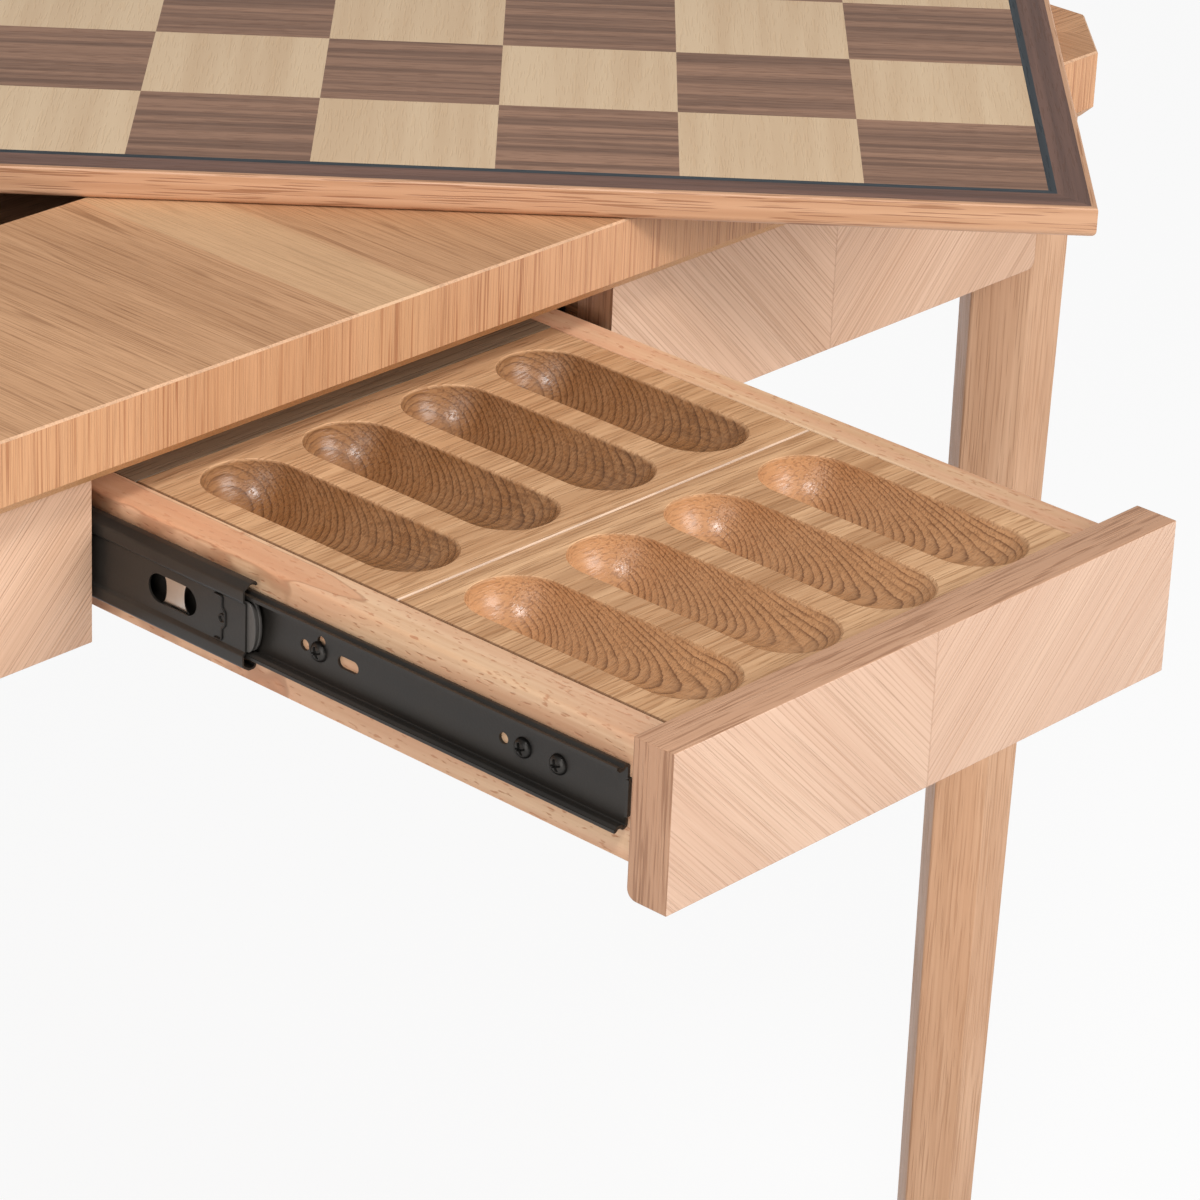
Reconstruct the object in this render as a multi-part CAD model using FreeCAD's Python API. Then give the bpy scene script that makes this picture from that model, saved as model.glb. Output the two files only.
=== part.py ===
import FreeCAD, Part
import math
import os

# A square game table: a mitred oak top with a recess for a lift-out chess board, four tapered legs
# set on the diagonals, and a drawer with scooped trays for each of two players.
# Millimetres. The origin is the middle of the table on the floor, +Z is up and the open drawer is at -Y.
# The front drawer is pulled out and the board lies askew on the top, as the table is shown.

Vector = FreeCAD.Vector

# Table top
table_height = 750.0
table_side = 900.0
corner_clip = 33.0
edge_band_height = 24.5
under_chamfer = 5.0
top_arris = 0.8

# Chess board
square_side = 70.3
squares_across = 8
stringing_width = 3.2
border_width = 12.0
lipping_width = 2.4
board_thickness = 12.0
inlay_thickness = 3.0
lipping_low_round = 3.0
lipping_top_round = 1.0
board_turn_degrees = -47.3
board_centre_x = 263.0
board_centre_y = -159.5
board_rest_gap = 0.2

# Recess under the board
board_gap = 0.7
ledge_width = 16.0
recess_floor_thickness = 6.0
recess_floor_overlap = 18.0
finger_hole_diameter = 32.0
floor_screw_diameter = 4.0
floor_screw_head_diameter = 8.0
floor_screw_head_height = 1.6
floor_screw_length = 16.0
floor_screw_place_shares = (-0.6, 0.0, 0.6)

# Legs
leg_inner_width = 39.1
leg_side_depth = 25.7
leg_outer_width = 7.0
leg_inset = 3.1
leg_foot_share = 0.706
glide_diameter = 16.0
glide_thickness = 4.0
glide_stem_diameter = 6.0
glide_stem_length = 14.0

# Aprons
apron_setback = 11.6
apron_drop = 96.5
apron_thickness = 18.0
apron_end_ease = 10.0
apron_arris = 0.6
apron_end_round = 4.0
glue_block_size = 26.0
glue_block_length = 60.0
glue_block_place_share = 0.55

# Corner blocks and hanger bolts
corner_block_thickness = 22.0
corner_block_height = 46.0
bolt_diameter = 8.0
bolt_depth_in_leg = 28.0
bolt_end = 3.0
bolt_height_shares = (-0.25, 0.25)
washer_diameter = 18.0
washer_thickness = 1.6
nut_width = 13.0
nut_thickness = 6.5
nut_sides = 6

# Drawers
drawer_front_width = 263.0
drawer_front_thickness = 17.5
drawer_front_arris = 0.8
drawer_side_gap = 2.2
drawer_top_gap = 8.0
drawer_side_thickness = 15.5
drawer_side_top_step = 6.8
drawer_side_low_step = 6.6
drawer_side_round = 2.2
drawer_back_thickness = 12.0
drawer_bottom_thickness = 5.0
drawer_bottom_rise = 5.5
groove_depth = 6.0
groove_clearance = 0.2
drawer_open_at_rest = 272.3

# Trays
tray_length = 130.5
tray_clearance = 0.3
tray_arris = 0.5
wells_per_tray = 4
well_web = 12.2
well_end_margin = 8.25
well_depth = 18.5
well_shallow_depth = 8.0

# Runners and slides
runner_thickness = 18.0
runner_low_step = 3.0
slide_thickness = 11.4
rail_length = 266.0
rail_front_setback = 7.0
rail_rise = 1.6
rail_steel = 1.2
rail_web_gap = 1.2
rail_lip_gap = 0.7
cabinet_rail_height = 45.5
middle_travel_share = 0.362
ball_diameter = 3.6
ball_clearance = 0.3
cage_thickness = 1.4
cage_inset = 0.5
outer_cage_length = 140.0
inner_cage_length = 72.0
outer_cage_balls = 8
inner_cage_balls = 5
middle_slot_start = 24.4
middle_slot_length = 24.4
middle_slot_height = 11.0
stop_depth = 3.6
stop_height = 19.0
stop_nose = 5.6
stop_tail = 14.0
stop_round = 2.5
drawer_rail_screw_places = (32.0, 48.0, 144.0)
drawer_rail_hole_places = (57.0, 151.0)
drawer_rail_hole_diameter = 4.2
drawer_rail_oblong_place = 125.0
drawer_rail_oblong_length = 10.0
drawer_rail_oblong_height = 4.6
cabinet_rail_screw_places = (40.0, 226.0)
rail_screw_diameter = 3.5
rail_screw_length = 12.0
pan_head_diameter = 7.6
pan_head_height = 2.0
wafer_head_diameter = 9.0
wafer_head_height = 0.8
cross_width = 0.9
cross_length = 4.4
cross_depth = 1.2

# Clearance round every fastener, and how far a cutting solid passes the face that it cuts
fastener_clearance = 0.1
overrun = 2.0

quarter_turn = 90.0
half_turn = 180.0
corner_turns = {"front_right": 0.0, "back_right": 90.0, "back_left": 180.0, "front_left": 270.0}
sides = {"left": -1, "right": 1}
centre = Vector(0, 0, 0)
up = Vector(0, 0, 1)
along_x = Vector(1, 0, 0)
along_y = Vector(0, 1, 0)
diagonal_out = Vector(1, -1, 0) / math.sqrt(2)
diagonal_along = Vector(1, 1, 0) / math.sqrt(2)

# Places that follow from the sizes
top_half = table_side / 2
top_thickness = edge_band_height + under_chamfer
underside = table_height - top_thickness
field_half = square_side * squares_across / 2
stringing_half = field_half + stringing_width
border_half = stringing_half + border_width
board_half = border_half + lipping_width
recess_half = board_half + board_gap
ledge_top = table_height - board_thickness
floor_low = underside - recess_floor_thickness
floor_half = recess_half + recess_floor_overlap
apron_face = top_half - apron_setback
apron_inner = apron_face - apron_thickness
apron_low = table_height - apron_drop
opening_half = drawer_front_width / 2 + drawer_side_gap
leg_half = leg_inner_width / 2
leg_inner_u = -leg_side_depth / 2
leg_facet_u = leg_side_depth / 2
leg_outer_u = leg_facet_u + (leg_inner_width - leg_outer_width) / 2
leg_centre_depth = corner_clip / math.sqrt(2) + leg_inset + leg_outer_u
leg_centre_xy = top_half - leg_centre_depth / math.sqrt(2)
leg_centre = Vector(leg_centre_xy, -leg_centre_xy, 0)
mitre_offset = leg_half * math.sqrt(2)
block_middle = (apron_low + underside) / 2
box_half = opening_half - slide_thickness
box_inner_half = box_half - drawer_side_thickness
front_top = underside - drawer_top_gap
side_top = front_top - drawer_side_top_step
side_low = apron_low + drawer_side_low_step
bottom_low = side_low + drawer_bottom_rise
bottom_top = bottom_low + drawer_bottom_thickness
drawer_back_face = -apron_face + drawer_front_thickness
box_inner_depth = 2 * tray_length + 3 * tray_clearance
box_end = drawer_back_face + box_inner_depth + drawer_back_thickness
tray_half = box_inner_half - tray_clearance
well_width = (2 * tray_half - (wells_per_tray + 1) * well_web) / wells_per_tray
rail_axis = (side_low + side_top) / 2 + rail_rise
rail_start = drawer_back_face + rail_front_setback
rail_end = rail_start + rail_length
ball_gap = ball_diameter + 2 * ball_clearance
cabinet_half = cabinet_rail_height / 2
middle_half = cabinet_half - rail_steel - ball_gap
drawer_rail_half = middle_half - rail_steel - ball_gap
middle_web_out = rail_steel + rail_web_gap
middle_web_in = middle_web_out + rail_steel
drawer_web_in = slide_thickness - rail_steel
drawer_lip = middle_web_in + rail_lip_gap
middle_lip = drawer_web_in - rail_lip_gap
cabinet_lip = slide_thickness - rail_lip_gap


def save(name, shapes):
    """Writes one node: a single solid, or a group of like solids."""
    shape = Part.makeCompound(shapes) if isinstance(shapes, list) else shapes
    shape.exportStep("parts/" + name + ".step")


def block(low, high):
    """Upright box between two corners given in any order."""
    small = Vector(min(low[0], high[0]), min(low[1], high[1]), min(low[2], high[2]))
    large = Vector(max(low[0], high[0]), max(low[1], high[1]), max(low[2], high[2]))
    size = large - small
    return Part.makeBox(size.x, size.y, size.z, small)


def outline(points, z):
    """Closed wire through plan points at one height."""
    ring = [Vector(x, y, z) for x, y in points]
    return Part.makePolygon(ring + ring[:1])


def prism(points, low, high):
    """Upright solid on a plan outline."""
    return Part.Face(outline(points, low)).extrude(up * (high - low))


def taper(low_points, low, high_points, high):
    """Straight-sided solid between two like outlines at different heights."""
    return Part.makeLoft([outline(low_points, low), outline(high_points, high)], True, True)


def rounded(shape, radius, chosen):
    """The shape with the edges that the test picks rounded."""
    return shape.makeFillet(radius, [edge for edge in shape.Edges if chosen(edge)])


def edge_at(edge, low=None, high=None, along=None):
    """True if an edge lies at one of two heights and runs along one axis."""
    ends = [vertex.Point for vertex in edge.Vertexes]
    if len(ends) < 2:
        return False
    level = abs(ends[0].z - ends[1].z) < overrun / 1000
    heights = [height for height in (low, high) if height is not None]
    at_height = not heights or (level and any(abs(ends[0].z - height) < overrun / 1000 for height in heights))
    return at_height and (along is None or abs((ends[1] - ends[0]).normalize().dot(along)) > 1 - overrun / 1000)


def turned(shape, degrees):
    """A copy turned about the table's upright centre line."""
    copy = shape.copy()
    copy.rotate(centre, up, degrees)
    return copy


def clipped_square(half, clip):
    """Plan outline of a square with its four corners cut off."""
    near = half - clip
    return [
        (-near, -half), (near, -half), (half, -near), (half, near),
        (near, half), (-near, half), (-half, near), (-half, -near),
    ]


def quarter(half, low, high):
    """The front quarter of a square, cut along its diagonals."""
    return prism([(0, 0), (-half, -half), (half, -half)], low, high)


def on_diagonal(u, v):
    """Plan point at the front right leg: u outwards from its centre, v along the clipped corner."""
    point = leg_centre + diagonal_out * u + diagonal_along * v
    return point.x, point.y


def screw(point, direction, head_diameter, head_height, diameter, length, cross=False):
    """Screw whose head rests on the given point and whose shank runs along the direction."""
    head = Part.makeCylinder(head_diameter / 2, head_height, point, direction * -1)
    head = head.makeFillet(head_height / 3, [head.Edges[0]])
    shank = Part.makeCylinder(diameter / 2, length, point, direction)
    whole = head.fuse(shank).removeSplitter()
    if cross:
        crown = point - direction * (head_height - cross_depth)
        for arm in (along_y, up):
            side = direction.cross(arm)
            corner = crown - arm * (cross_length / 2) - side * (cross_width / 2)
            edge = Part.makePolygon([
                corner, corner + arm * cross_length, corner + arm * cross_length + side * cross_width,
                corner + side * cross_width, corner,
            ])
            whole = whole.cut(Part.Face(edge).extrude(direction * -(cross_depth + overrun)))
    return whole


def screw_hole(point, direction, diameter, length):
    """Cutting cylinder for a screw's shank, reaching back through what the head rests on."""
    start = point - direction * overrun
    radius = diameter / 2 + fastener_clearance
    return Part.makeCylinder(radius, length + overrun + fastener_clearance, start, direction)


def floor_screw_points():
    """Head seats of the recess floor's screws, on its underside."""
    row = floor_half - recess_floor_overlap / 2
    points = []
    for turn in corner_turns.values():
        for share in floor_screw_place_shares:
            point = Part.Vertex(share * recess_half, -row, floor_low)
            point.rotate(centre, up, turn)
            points.append(point.Point)
    return points


def build_top():
    """Four mitred top pieces around the recess, its floor, the board's ledge and the floor's screws."""
    diagonal_loss = 2 - math.sqrt(2)
    face = clipped_square(top_half, corner_clip)
    chamfered = clipped_square(top_half - under_chamfer, corner_clip - under_chamfer * diagonal_loss)
    eased = clipped_square(top_half - top_arris, corner_clip - top_arris * diagonal_loss)
    band_low = underside + under_chamfer
    band_high = table_height - top_arris
    slab = taper(chamfered, underside, face, band_low)
    slab = slab.fuse([prism(face, band_low, band_high), taper(face, band_high, eased, table_height)])
    inside = recess_half
    hole = block((-inside, -inside, underside - overrun), (inside, inside, table_height + overrun))
    frame = slab.cut(hole)
    for point in floor_screw_points():
        frame = frame.cut(screw_hole(point, up, floor_screw_diameter, floor_screw_length))
    for index, name in enumerate(("front", "right", "back", "left")):
        wedge = turned(quarter(table_side, underside - overrun, table_height + overrun), index * quarter_turn)
        save("top_" + name, frame.common(wedge).removeSplitter().Solids[0])

    floor = block((-floor_half, -floor_half, floor_low), (floor_half, floor_half, underside))
    finger = Part.makeCylinder(finger_hole_diameter / 2, recess_floor_thickness + 2 * overrun,
                               Vector(0, 0, floor_low - overrun))
    floor = floor.cut(finger)
    screws = []
    for point in floor_screw_points():
        floor = floor.cut(screw_hole(point, up, floor_screw_diameter, floor_screw_length))
        screws.append(screw(point, up, floor_screw_head_diameter, floor_screw_head_height,
                            floor_screw_diameter, floor_screw_length))
    save("recess_floor", floor)
    save("recess_floor_screws", screws)

    inner = recess_half - ledge_width
    ledge = block((-recess_half, -recess_half, underside), (recess_half, recess_half, ledge_top))
    ledge = ledge.cut(block((-inner, -inner, underside - overrun), (inner, inner, ledge_top + overrun)))
    wedge = quarter(table_side, underside - overrun, table_height)
    strip = ledge.common(wedge).Solids[0]
    save("board_ledges", [turned(strip, turn) for turn in corner_turns.values()])


def board_placed(shape):
    """A board piece moved from over the middle of the table to where it lies on the top."""
    copy = turned(shape, board_turn_degrees)
    copy.translate(Vector(board_centre_x, board_centre_y, table_height + board_rest_gap))
    return copy


def ring_strips(outer, inner, low, high):
    """Four mitred strips between two squares."""
    ring = block((-outer, -outer, low), (outer, outer, high))
    ring = ring.cut(block((-inner, -inner, low - overrun), (inner, inner, high + overrun)))
    strip = ring.common(quarter(table_side, low - overrun, high + overrun)).Solids[0]
    return [board_placed(turned(strip, turn)) for turn in corner_turns.values()]


def build_board():
    """The lift-out chess board: core, lipping, border, stringing and squares."""
    inlay_low = board_thickness - inlay_thickness
    save("board_core", board_placed(block((-border_half, -border_half, 0), (border_half, border_half, inlay_low))))

    edge = block((-board_half, -board_half, 0), (board_half, board_half, board_thickness))
    edge = rounded(edge, lipping_low_round, lambda item: edge_at(item, low=0))
    edge = rounded(edge, lipping_top_round, lambda item: edge_at(item, high=board_thickness))
    edge = edge.cut(block((-border_half, -border_half, -overrun),
                          (border_half, border_half, board_thickness + overrun)))
    wedge = quarter(table_side, -overrun, board_thickness + overrun)
    strip = edge.common(wedge).Solids[0]
    save("board_lipping", [board_placed(turned(strip, turn)) for turn in corner_turns.values()])

    save("board_border", ring_strips(border_half, stringing_half, inlay_low, board_thickness))
    save("board_stringing", ring_strips(stringing_half, field_half, inlay_low, board_thickness))

    squares = {True: [], False: []}
    for column in range(squares_across):
        for row in range(squares_across):
            x = column * square_side - field_half
            y = row * square_side - field_half
            tile = block((x, y, inlay_low), (x + square_side, y + square_side, board_thickness))
            dark = (column + row) % 2 == 1
            squares[dark].append(board_placed(tile))
    save("dark_squares", squares[True])
    save("light_squares", squares[False])


def leg_section(share):
    """Plan points of a leg's six-sided section, as a share of its size at the top."""
    corners = [
        (leg_inner_u, leg_half), (leg_inner_u, -leg_half), (leg_facet_u, -leg_half),
        (leg_outer_u, -leg_outer_width / 2), (leg_outer_u, leg_outer_width / 2), (leg_facet_u, leg_half),
    ]
    return [on_diagonal(u * share, v * share) for u, v in corners]


def bolt_points():
    """Where the front right corner's hanger bolts cross the leg's inner face."""
    x, y = on_diagonal(leg_inner_u, 0)
    return [Vector(x, y, block_middle + share * corner_block_height) for share in bolt_height_shares]


def build_legs():
    """Legs, glides, corner blocks and hanger bolts, made at the front right and turned round the table."""
    leg = prism(leg_section(1), apron_low, underside)
    leg = leg.fuse(taper(leg_section(leg_foot_share), glide_thickness, leg_section(1), apron_low))
    leg = leg.removeSplitter()
    stem_base = leg_centre + up * glide_thickness
    leg = leg.cut(Part.makeCylinder(glide_stem_diameter / 2 + fastener_clearance,
                                    glide_stem_length + fastener_clearance, stem_base))
    glide = Part.makeCylinder(glide_diameter / 2, glide_thickness, leg_centre)
    glide = glide.makeFillet(glide_thickness / 3, [glide.Edges[2]])
    glide = glide.fuse(Part.makeCylinder(glide_stem_diameter / 2, glide_stem_length, stem_base)).removeSplitter()

    outer_sum = 2 * leg_centre_xy + leg_inner_u * math.sqrt(2)
    inner_sum = outer_sum - corner_block_thickness * math.sqrt(2)
    plan = [
        (outer_sum - apron_inner, -apron_inner), (apron_inner, apron_inner - outer_sum),
        (apron_inner, apron_inner - inner_sum), (inner_sum - apron_inner, -apron_inner),
    ]
    half_height = corner_block_height / 2
    brace = prism(plan, block_middle - half_height, block_middle + half_height)
    inwards = diagonal_out * -1
    bolts = []
    nuts = []
    hold = corner_block_thickness + washer_thickness + nut_thickness
    for point in bolt_points():
        start = point - inwards * bolt_depth_in_leg
        length = bolt_depth_in_leg + hold + bolt_end
        hole = Part.makeCylinder(bolt_diameter / 2 + fastener_clearance, length + fastener_clearance,
                                 start - inwards * fastener_clearance, inwards)
        bolts.append(Part.makeCylinder(bolt_diameter / 2, length, start, inwards))
        leg = leg.cut(hole)
        brace = brace.cut(hole)
        seat = point + inwards * corner_block_thickness
        nuts.append(Part.makeCylinder(washer_diameter / 2, washer_thickness, seat, inwards).cut(hole))
        nut_seat = seat + inwards * washer_thickness
        reach = nut_width / 2 / math.cos(math.pi / nut_sides)
        corners = []
        for index in range(nut_sides + 1):
            angle = 2 * math.pi * index / nut_sides
            corners.append(nut_seat + diagonal_along * (reach * math.cos(angle)) + up * (reach * math.sin(angle)))
        nuts.append(Part.Face(Part.makePolygon(corners)).extrude(inwards * nut_thickness).cut(hole))

    for name, turn in corner_turns.items():
        save("leg_" + name, turned(leg, turn))
    save("foot_glides", [turned(glide, turn) for turn in corner_turns.values()])
    save("corner_blocks", [turned(brace, turn) for turn in corner_turns.values()])
    save("hanger_bolts", [turned(bolt, turn) for turn in corner_turns.values() for bolt in bolts])
    save("bolt_nuts_and_washers", [turned(nut, turn) for turn in corner_turns.values() for nut in nuts])


def build_aprons():
    """Aprons with ends fitted to the legs, and the glue blocks that hold the top to them."""
    tip = apron_face - mitre_offset
    end = tip - apron_end_ease
    notch = -mitre_offset - end
    inner_tip = apron_inner - mitre_offset
    left_end = [(-inner_tip, -apron_inner), (-end, notch), (-end, -apron_face)]
    right_end = [(end, -apron_face), (end, notch), (inner_tip, -apron_inner)]
    whole = prism(left_end + right_end, apron_low, underside)
    whole = rounded(whole, apron_end_round, lambda item: edge_at(item, low=apron_low, along=along_y))
    whole = rounded(whole, apron_arris, lambda item: edge_at(item, low=apron_low, along=along_x))
    opening = block((-opening_half, -apron_face - overrun, apron_low - overrun),
                    (opening_half, -apron_inner + overrun, underside + overrun))
    pieces = sorted(whole.cut(opening).Solids, key=lambda solid: solid.CenterOfMass.x)
    save("apron_front_left", pieces[0])
    save("apron_front_right", pieces[1])
    save("apron_back_right", turned(pieces[0], half_turn))
    save("apron_back_left", turned(pieces[1], half_turn))
    save("apron_right", turned(whole, quarter_turn))
    save("apron_left", turned(whole, -quarter_turn))

    blocks = []
    profile = Part.makePolygon([
        Vector(0, -apron_inner, underside), Vector(0, -apron_inner + glue_block_size, underside),
        Vector(0, -apron_inner, underside - glue_block_size), Vector(0, -apron_inner, underside),
    ])
    wedge = Part.Face(profile).extrude(along_x * glue_block_length)
    for side in sides.values():
        copy = wedge.copy()
        place = side * glue_block_place_share * top_half
        copy.translate(along_x * (place - glue_block_length / 2))
        blocks += [turned(copy, turn) for turn in corner_turns.values()]
    save("glue_blocks", blocks)


def placed(shape, end, travel):
    """A piece made at the closed front drawer, pulled out by its travel and turned to its end of the table."""
    copy = shape.copy()
    copy.translate(along_y * -travel)
    return turned(copy, half_turn) if end == "back" else copy


def well_cutter(x, front, back, top):
    """Cutting solid of a scoop: a bowl at the back and a ramp that rises to a shallow round front."""
    radius = well_width / 2

    def half_profile(y, depth):
        """Half section of a bowl of that depth, from its axis to its rim."""
        angle = 2 * math.atan2(depth, radius)
        sweep = radius / math.sin(angle)
        low = Vector(x, y, top - depth)
        middle = low + Vector(sweep * math.sin(angle / 2), 0, sweep * (1 - math.cos(angle / 2)))
        rim = Vector(x + radius, y, top)
        above = rim + up * overrun
        axis_top = Vector(x, y, above.z)
        edges = [
            Part.Arc(low, middle, rim).toShape(), Part.LineSegment(rim, above).toShape(),
            Part.LineSegment(above, axis_top).toShape(), Part.LineSegment(axis_top, low).toShape(),
        ]
        return Part.Face(Part.Wire(edges))

    def section(y, depth):
        """Whole section of the scoop at one place along it."""
        left = Vector(x - radius, y, top)
        right = Vector(x + radius, y, top)
        edges = [
            Part.Arc(left, Vector(x, y, top - depth), right).toShape(),
            Part.LineSegment(right, right + up * overrun).toShape(),
            Part.LineSegment(right + up * overrun, left + up * overrun).toShape(),
            Part.LineSegment(left + up * overrun, left).toShape(),
        ]
        return Part.Wire(edges)

    deep_y = back - radius
    shallow_y = front + radius
    ramp = Part.makeLoft([section(shallow_y, well_shallow_depth), section(deep_y, well_depth)], True, True)
    bowl = half_profile(deep_y, well_depth).revolve(Vector(x, deep_y, 0), up, half_turn)
    toe = half_profile(shallow_y, well_shallow_depth).revolve(Vector(x, shallow_y, 0), up, -half_turn)
    return [ramp, bowl, toe]


def tray(start):
    """One tray block with its row of scooped wells."""
    body = block((-tray_half, start, bottom_top), (tray_half, start + tray_length, side_top))
    body = rounded(body, tray_arris, lambda item: edge_at(item, high=side_top))
    pitch = well_width + well_web
    for index in range(wells_per_tray):
        x = (index - (wells_per_tray - 1) / 2) * pitch
        for cutter in well_cutter(x, start + well_end_margin, start + tray_length - well_end_margin, side_top):
            body = body.cut(cutter)
    return body


def drawer_box():
    """Wooden pieces of one drawer, closed, as a table of names and solids."""
    face = -apron_face
    half = drawer_front_width / 2
    front = block((-half, face, apron_low), (half, drawer_back_face, front_top))
    front = rounded(front, drawer_front_arris, lambda item: edge_at(item))
    pieces = {"front": front}
    for name, side in sides.items():
        board = block((side * box_inner_half, drawer_back_face, side_low), (side * box_half, box_end, side_top))
        board = rounded(board, drawer_side_round, lambda item: edge_at(item, high=side_top, along=along_y))
        groove = block(
            (side * (box_inner_half - overrun), drawer_back_face - overrun, bottom_low),
            (side * (box_inner_half + groove_depth), box_end + overrun, bottom_top + groove_clearance),
        )
        board = board.cut(groove)
        for point, direction in drawer_screw_seats(side):
            board = board.cut(screw_hole(point, direction, rail_screw_diameter, rail_screw_length))
        pieces["side_" + name] = board
    back_start = box_end - drawer_back_thickness
    pieces["back"] = block((-box_inner_half, back_start, bottom_top), (box_inner_half, box_end, side_top))
    bottom_half = box_inner_half + groove_depth - groove_clearance
    pieces["bottom"] = block((-bottom_half, drawer_back_face, bottom_low), (bottom_half, box_end, bottom_top))
    fore_start = drawer_back_face + tray_clearance
    pieces["tray_fore"] = tray(fore_start)
    pieces["tray_rear"] = tray(fore_start + tray_length + tray_clearance)
    return pieces


def channel(side, web_out, web_in, lip, half_height):
    """Steel channel along a slide: depths are measured from the runner towards the drawer."""
    inner = half_height - rail_steel
    depths = [
        (web_out, -half_height), (lip, -half_height), (lip, -inner), (web_in, -inner),
        (web_in, inner), (lip, inner), (lip, half_height), (web_out, half_height),
    ]
    ring = [Vector(side * (opening_half - depth), rail_start, rail_axis + z) for depth, z in depths]
    return Part.Face(Part.makePolygon(ring + ring[:1])).extrude(along_y * rail_length)


def web_slot(side, depth, start, length, height):
    """Cutting solid for a round-ended slot through a rail's web."""
    radius = height / 2
    thickness = rail_steel + 2 * overrun
    x = side * (opening_half - depth + overrun)
    direction = along_x * -side
    first = Vector(x, start + radius, rail_axis)
    second = Vector(x, start + length - radius, rail_axis)
    bar = block((x, first.y, rail_axis - radius), (x - side * thickness, second.y, rail_axis + radius))
    ends = [Part.makeCylinder(radius, thickness, point, direction) for point in (first, second)]
    return bar.fuse(ends)


def web_hole(side, depth, place, diameter):
    """Cutting cylinder for a round hole through a rail's web."""
    start = Vector(side * (opening_half - depth + overrun), place, rail_axis)
    return Part.makeCylinder(diameter / 2, rail_steel + 2 * overrun, start, along_x * -side)


def drawer_screw_seats(side):
    """Head seat and direction of each screw that holds a drawer rail to its drawer side."""
    x = side * (opening_half - drawer_web_in)
    return [(Vector(x, rail_start + place, rail_axis), along_x * -side) for place in drawer_rail_screw_places]


def cabinet_screw_seats(side):
    """Head seat and direction of each screw that holds a cabinet rail to its runner."""
    x = side * (opening_half - rail_steel)
    return [(Vector(x, rail_start + place, rail_axis), along_x * side) for place in cabinet_rail_screw_places]


def ball_cage(side, half_height, length, count, depth_low, depth_high):
    """Upper and lower cage strips of one rail pair, each with its row of balls."""
    solids = []
    middle_y = (rail_start + rail_end) / 2
    depth = (depth_low + depth_high) / 2
    for level in (-1, 1):
        z = rail_axis + level * (half_height + ball_gap / 2)
        strip = block(
            (side * (opening_half - depth_low), middle_y - length / 2, z - cage_thickness / 2),
            (side * (opening_half - depth_high), middle_y + length / 2, z + cage_thickness / 2),
        )
        balls = []
        for index in range(count):
            y = middle_y + ((index + 1) / (count + 1) - 1 / 2) * length
            place = Vector(side * (opening_half - depth), y, z)
            balls.append(Part.makeSphere(ball_diameter / 2, place))
            strip = strip.cut(Part.makeCylinder(ball_diameter / 2 + ball_clearance, cage_thickness + 2 * overrun,
                                                place - up * (cage_thickness / 2 + overrun)))
        solids += [strip] + balls
    return solids


def slide_pieces():
    """Steel pieces of both slides of one drawer, closed, as a table of names and groups of solids."""
    pieces = {name: [] for name in ("cabinet_rails", "middle_rails", "drawer_rails", "slide_stops",
                                    "outer_ball_cages", "inner_ball_cages", "drawer_rail_screws",
                                    "cabinet_rail_screws")}
    for side in sides.values():
        cabinet = channel(side, 0, rail_steel, cabinet_lip, cabinet_half)
        for point, direction in cabinet_screw_seats(side):
            cabinet = cabinet.cut(screw_hole(point, direction, rail_screw_diameter, rail_screw_length))
            pieces["cabinet_rail_screws"].append(screw(
                point, direction, wafer_head_diameter, wafer_head_height, rail_screw_diameter, rail_screw_length))
        pieces["cabinet_rails"].append(cabinet)

        middle = channel(side, middle_web_out, middle_web_in, middle_lip, middle_half)
        slot_starts = (middle_slot_start, rail_length - middle_slot_start - middle_slot_length)
        for start in slot_starts:
            middle = middle.cut(web_slot(side, middle_web_out, rail_start + start, middle_slot_length,
                                         middle_slot_height))
        pieces["middle_rails"].append(middle)

        stop_low = opening_half - middle_web_in
        stop = block(
            (side * stop_low, rail_start - stop_nose, rail_axis - stop_height / 2),
            (side * (stop_low - stop_depth), rail_start + stop_tail, rail_axis + stop_height / 2),
        )
        nose = rail_start - stop_nose
        stop = rounded(stop, stop_round, lambda item: edge_at(item, along=along_x) and
                       abs(item.CenterOfMass.y - nose) < stop_round)
        pieces["slide_stops"].append(stop)

        rail = channel(side, slide_thickness, drawer_web_in, drawer_lip, drawer_rail_half)
        for point, direction in drawer_screw_seats(side):
            rail = rail.cut(screw_hole(point, direction, rail_screw_diameter, rail_screw_length))
            pieces["drawer_rail_screws"].append(screw(
                point, direction, pan_head_diameter, pan_head_height, rail_screw_diameter, rail_screw_length, True))
        for place in drawer_rail_hole_places:
            rail = rail.cut(web_hole(side, drawer_web_in, rail_start + place, drawer_rail_hole_diameter))
        rail = rail.cut(web_slot(side, drawer_web_in, rail_start + drawer_rail_oblong_place,
                                 drawer_rail_oblong_length, drawer_rail_oblong_height))
        pieces["drawer_rails"].append(rail)

        pieces["outer_ball_cages"] += ball_cage(side, middle_half, outer_cage_length, outer_cage_balls,
                                                middle_web_in, middle_lip - cage_inset)
        pieces["inner_ball_cages"] += ball_cage(side, drawer_rail_half, inner_cage_length, inner_cage_balls,
                                                drawer_lip, middle_lip - cage_inset)
    return pieces


def build_runners():
    """The two boards between front and back aprons that carry the slides."""
    for name, side in sides.items():
        runner = block((side * opening_half, -apron_inner, apron_low + runner_low_step),
                       (side * (opening_half + runner_thickness), apron_inner, floor_low))
        for end in ("front", "back"):
            seats = cabinet_screw_seats(side if end == "front" else -side)
            for point, direction in seats:
                hole = screw_hole(point, direction, rail_screw_diameter, rail_screw_length)
                runner = runner.cut(placed(hole, end, 0))
        save("runner_" + name, runner)


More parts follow.
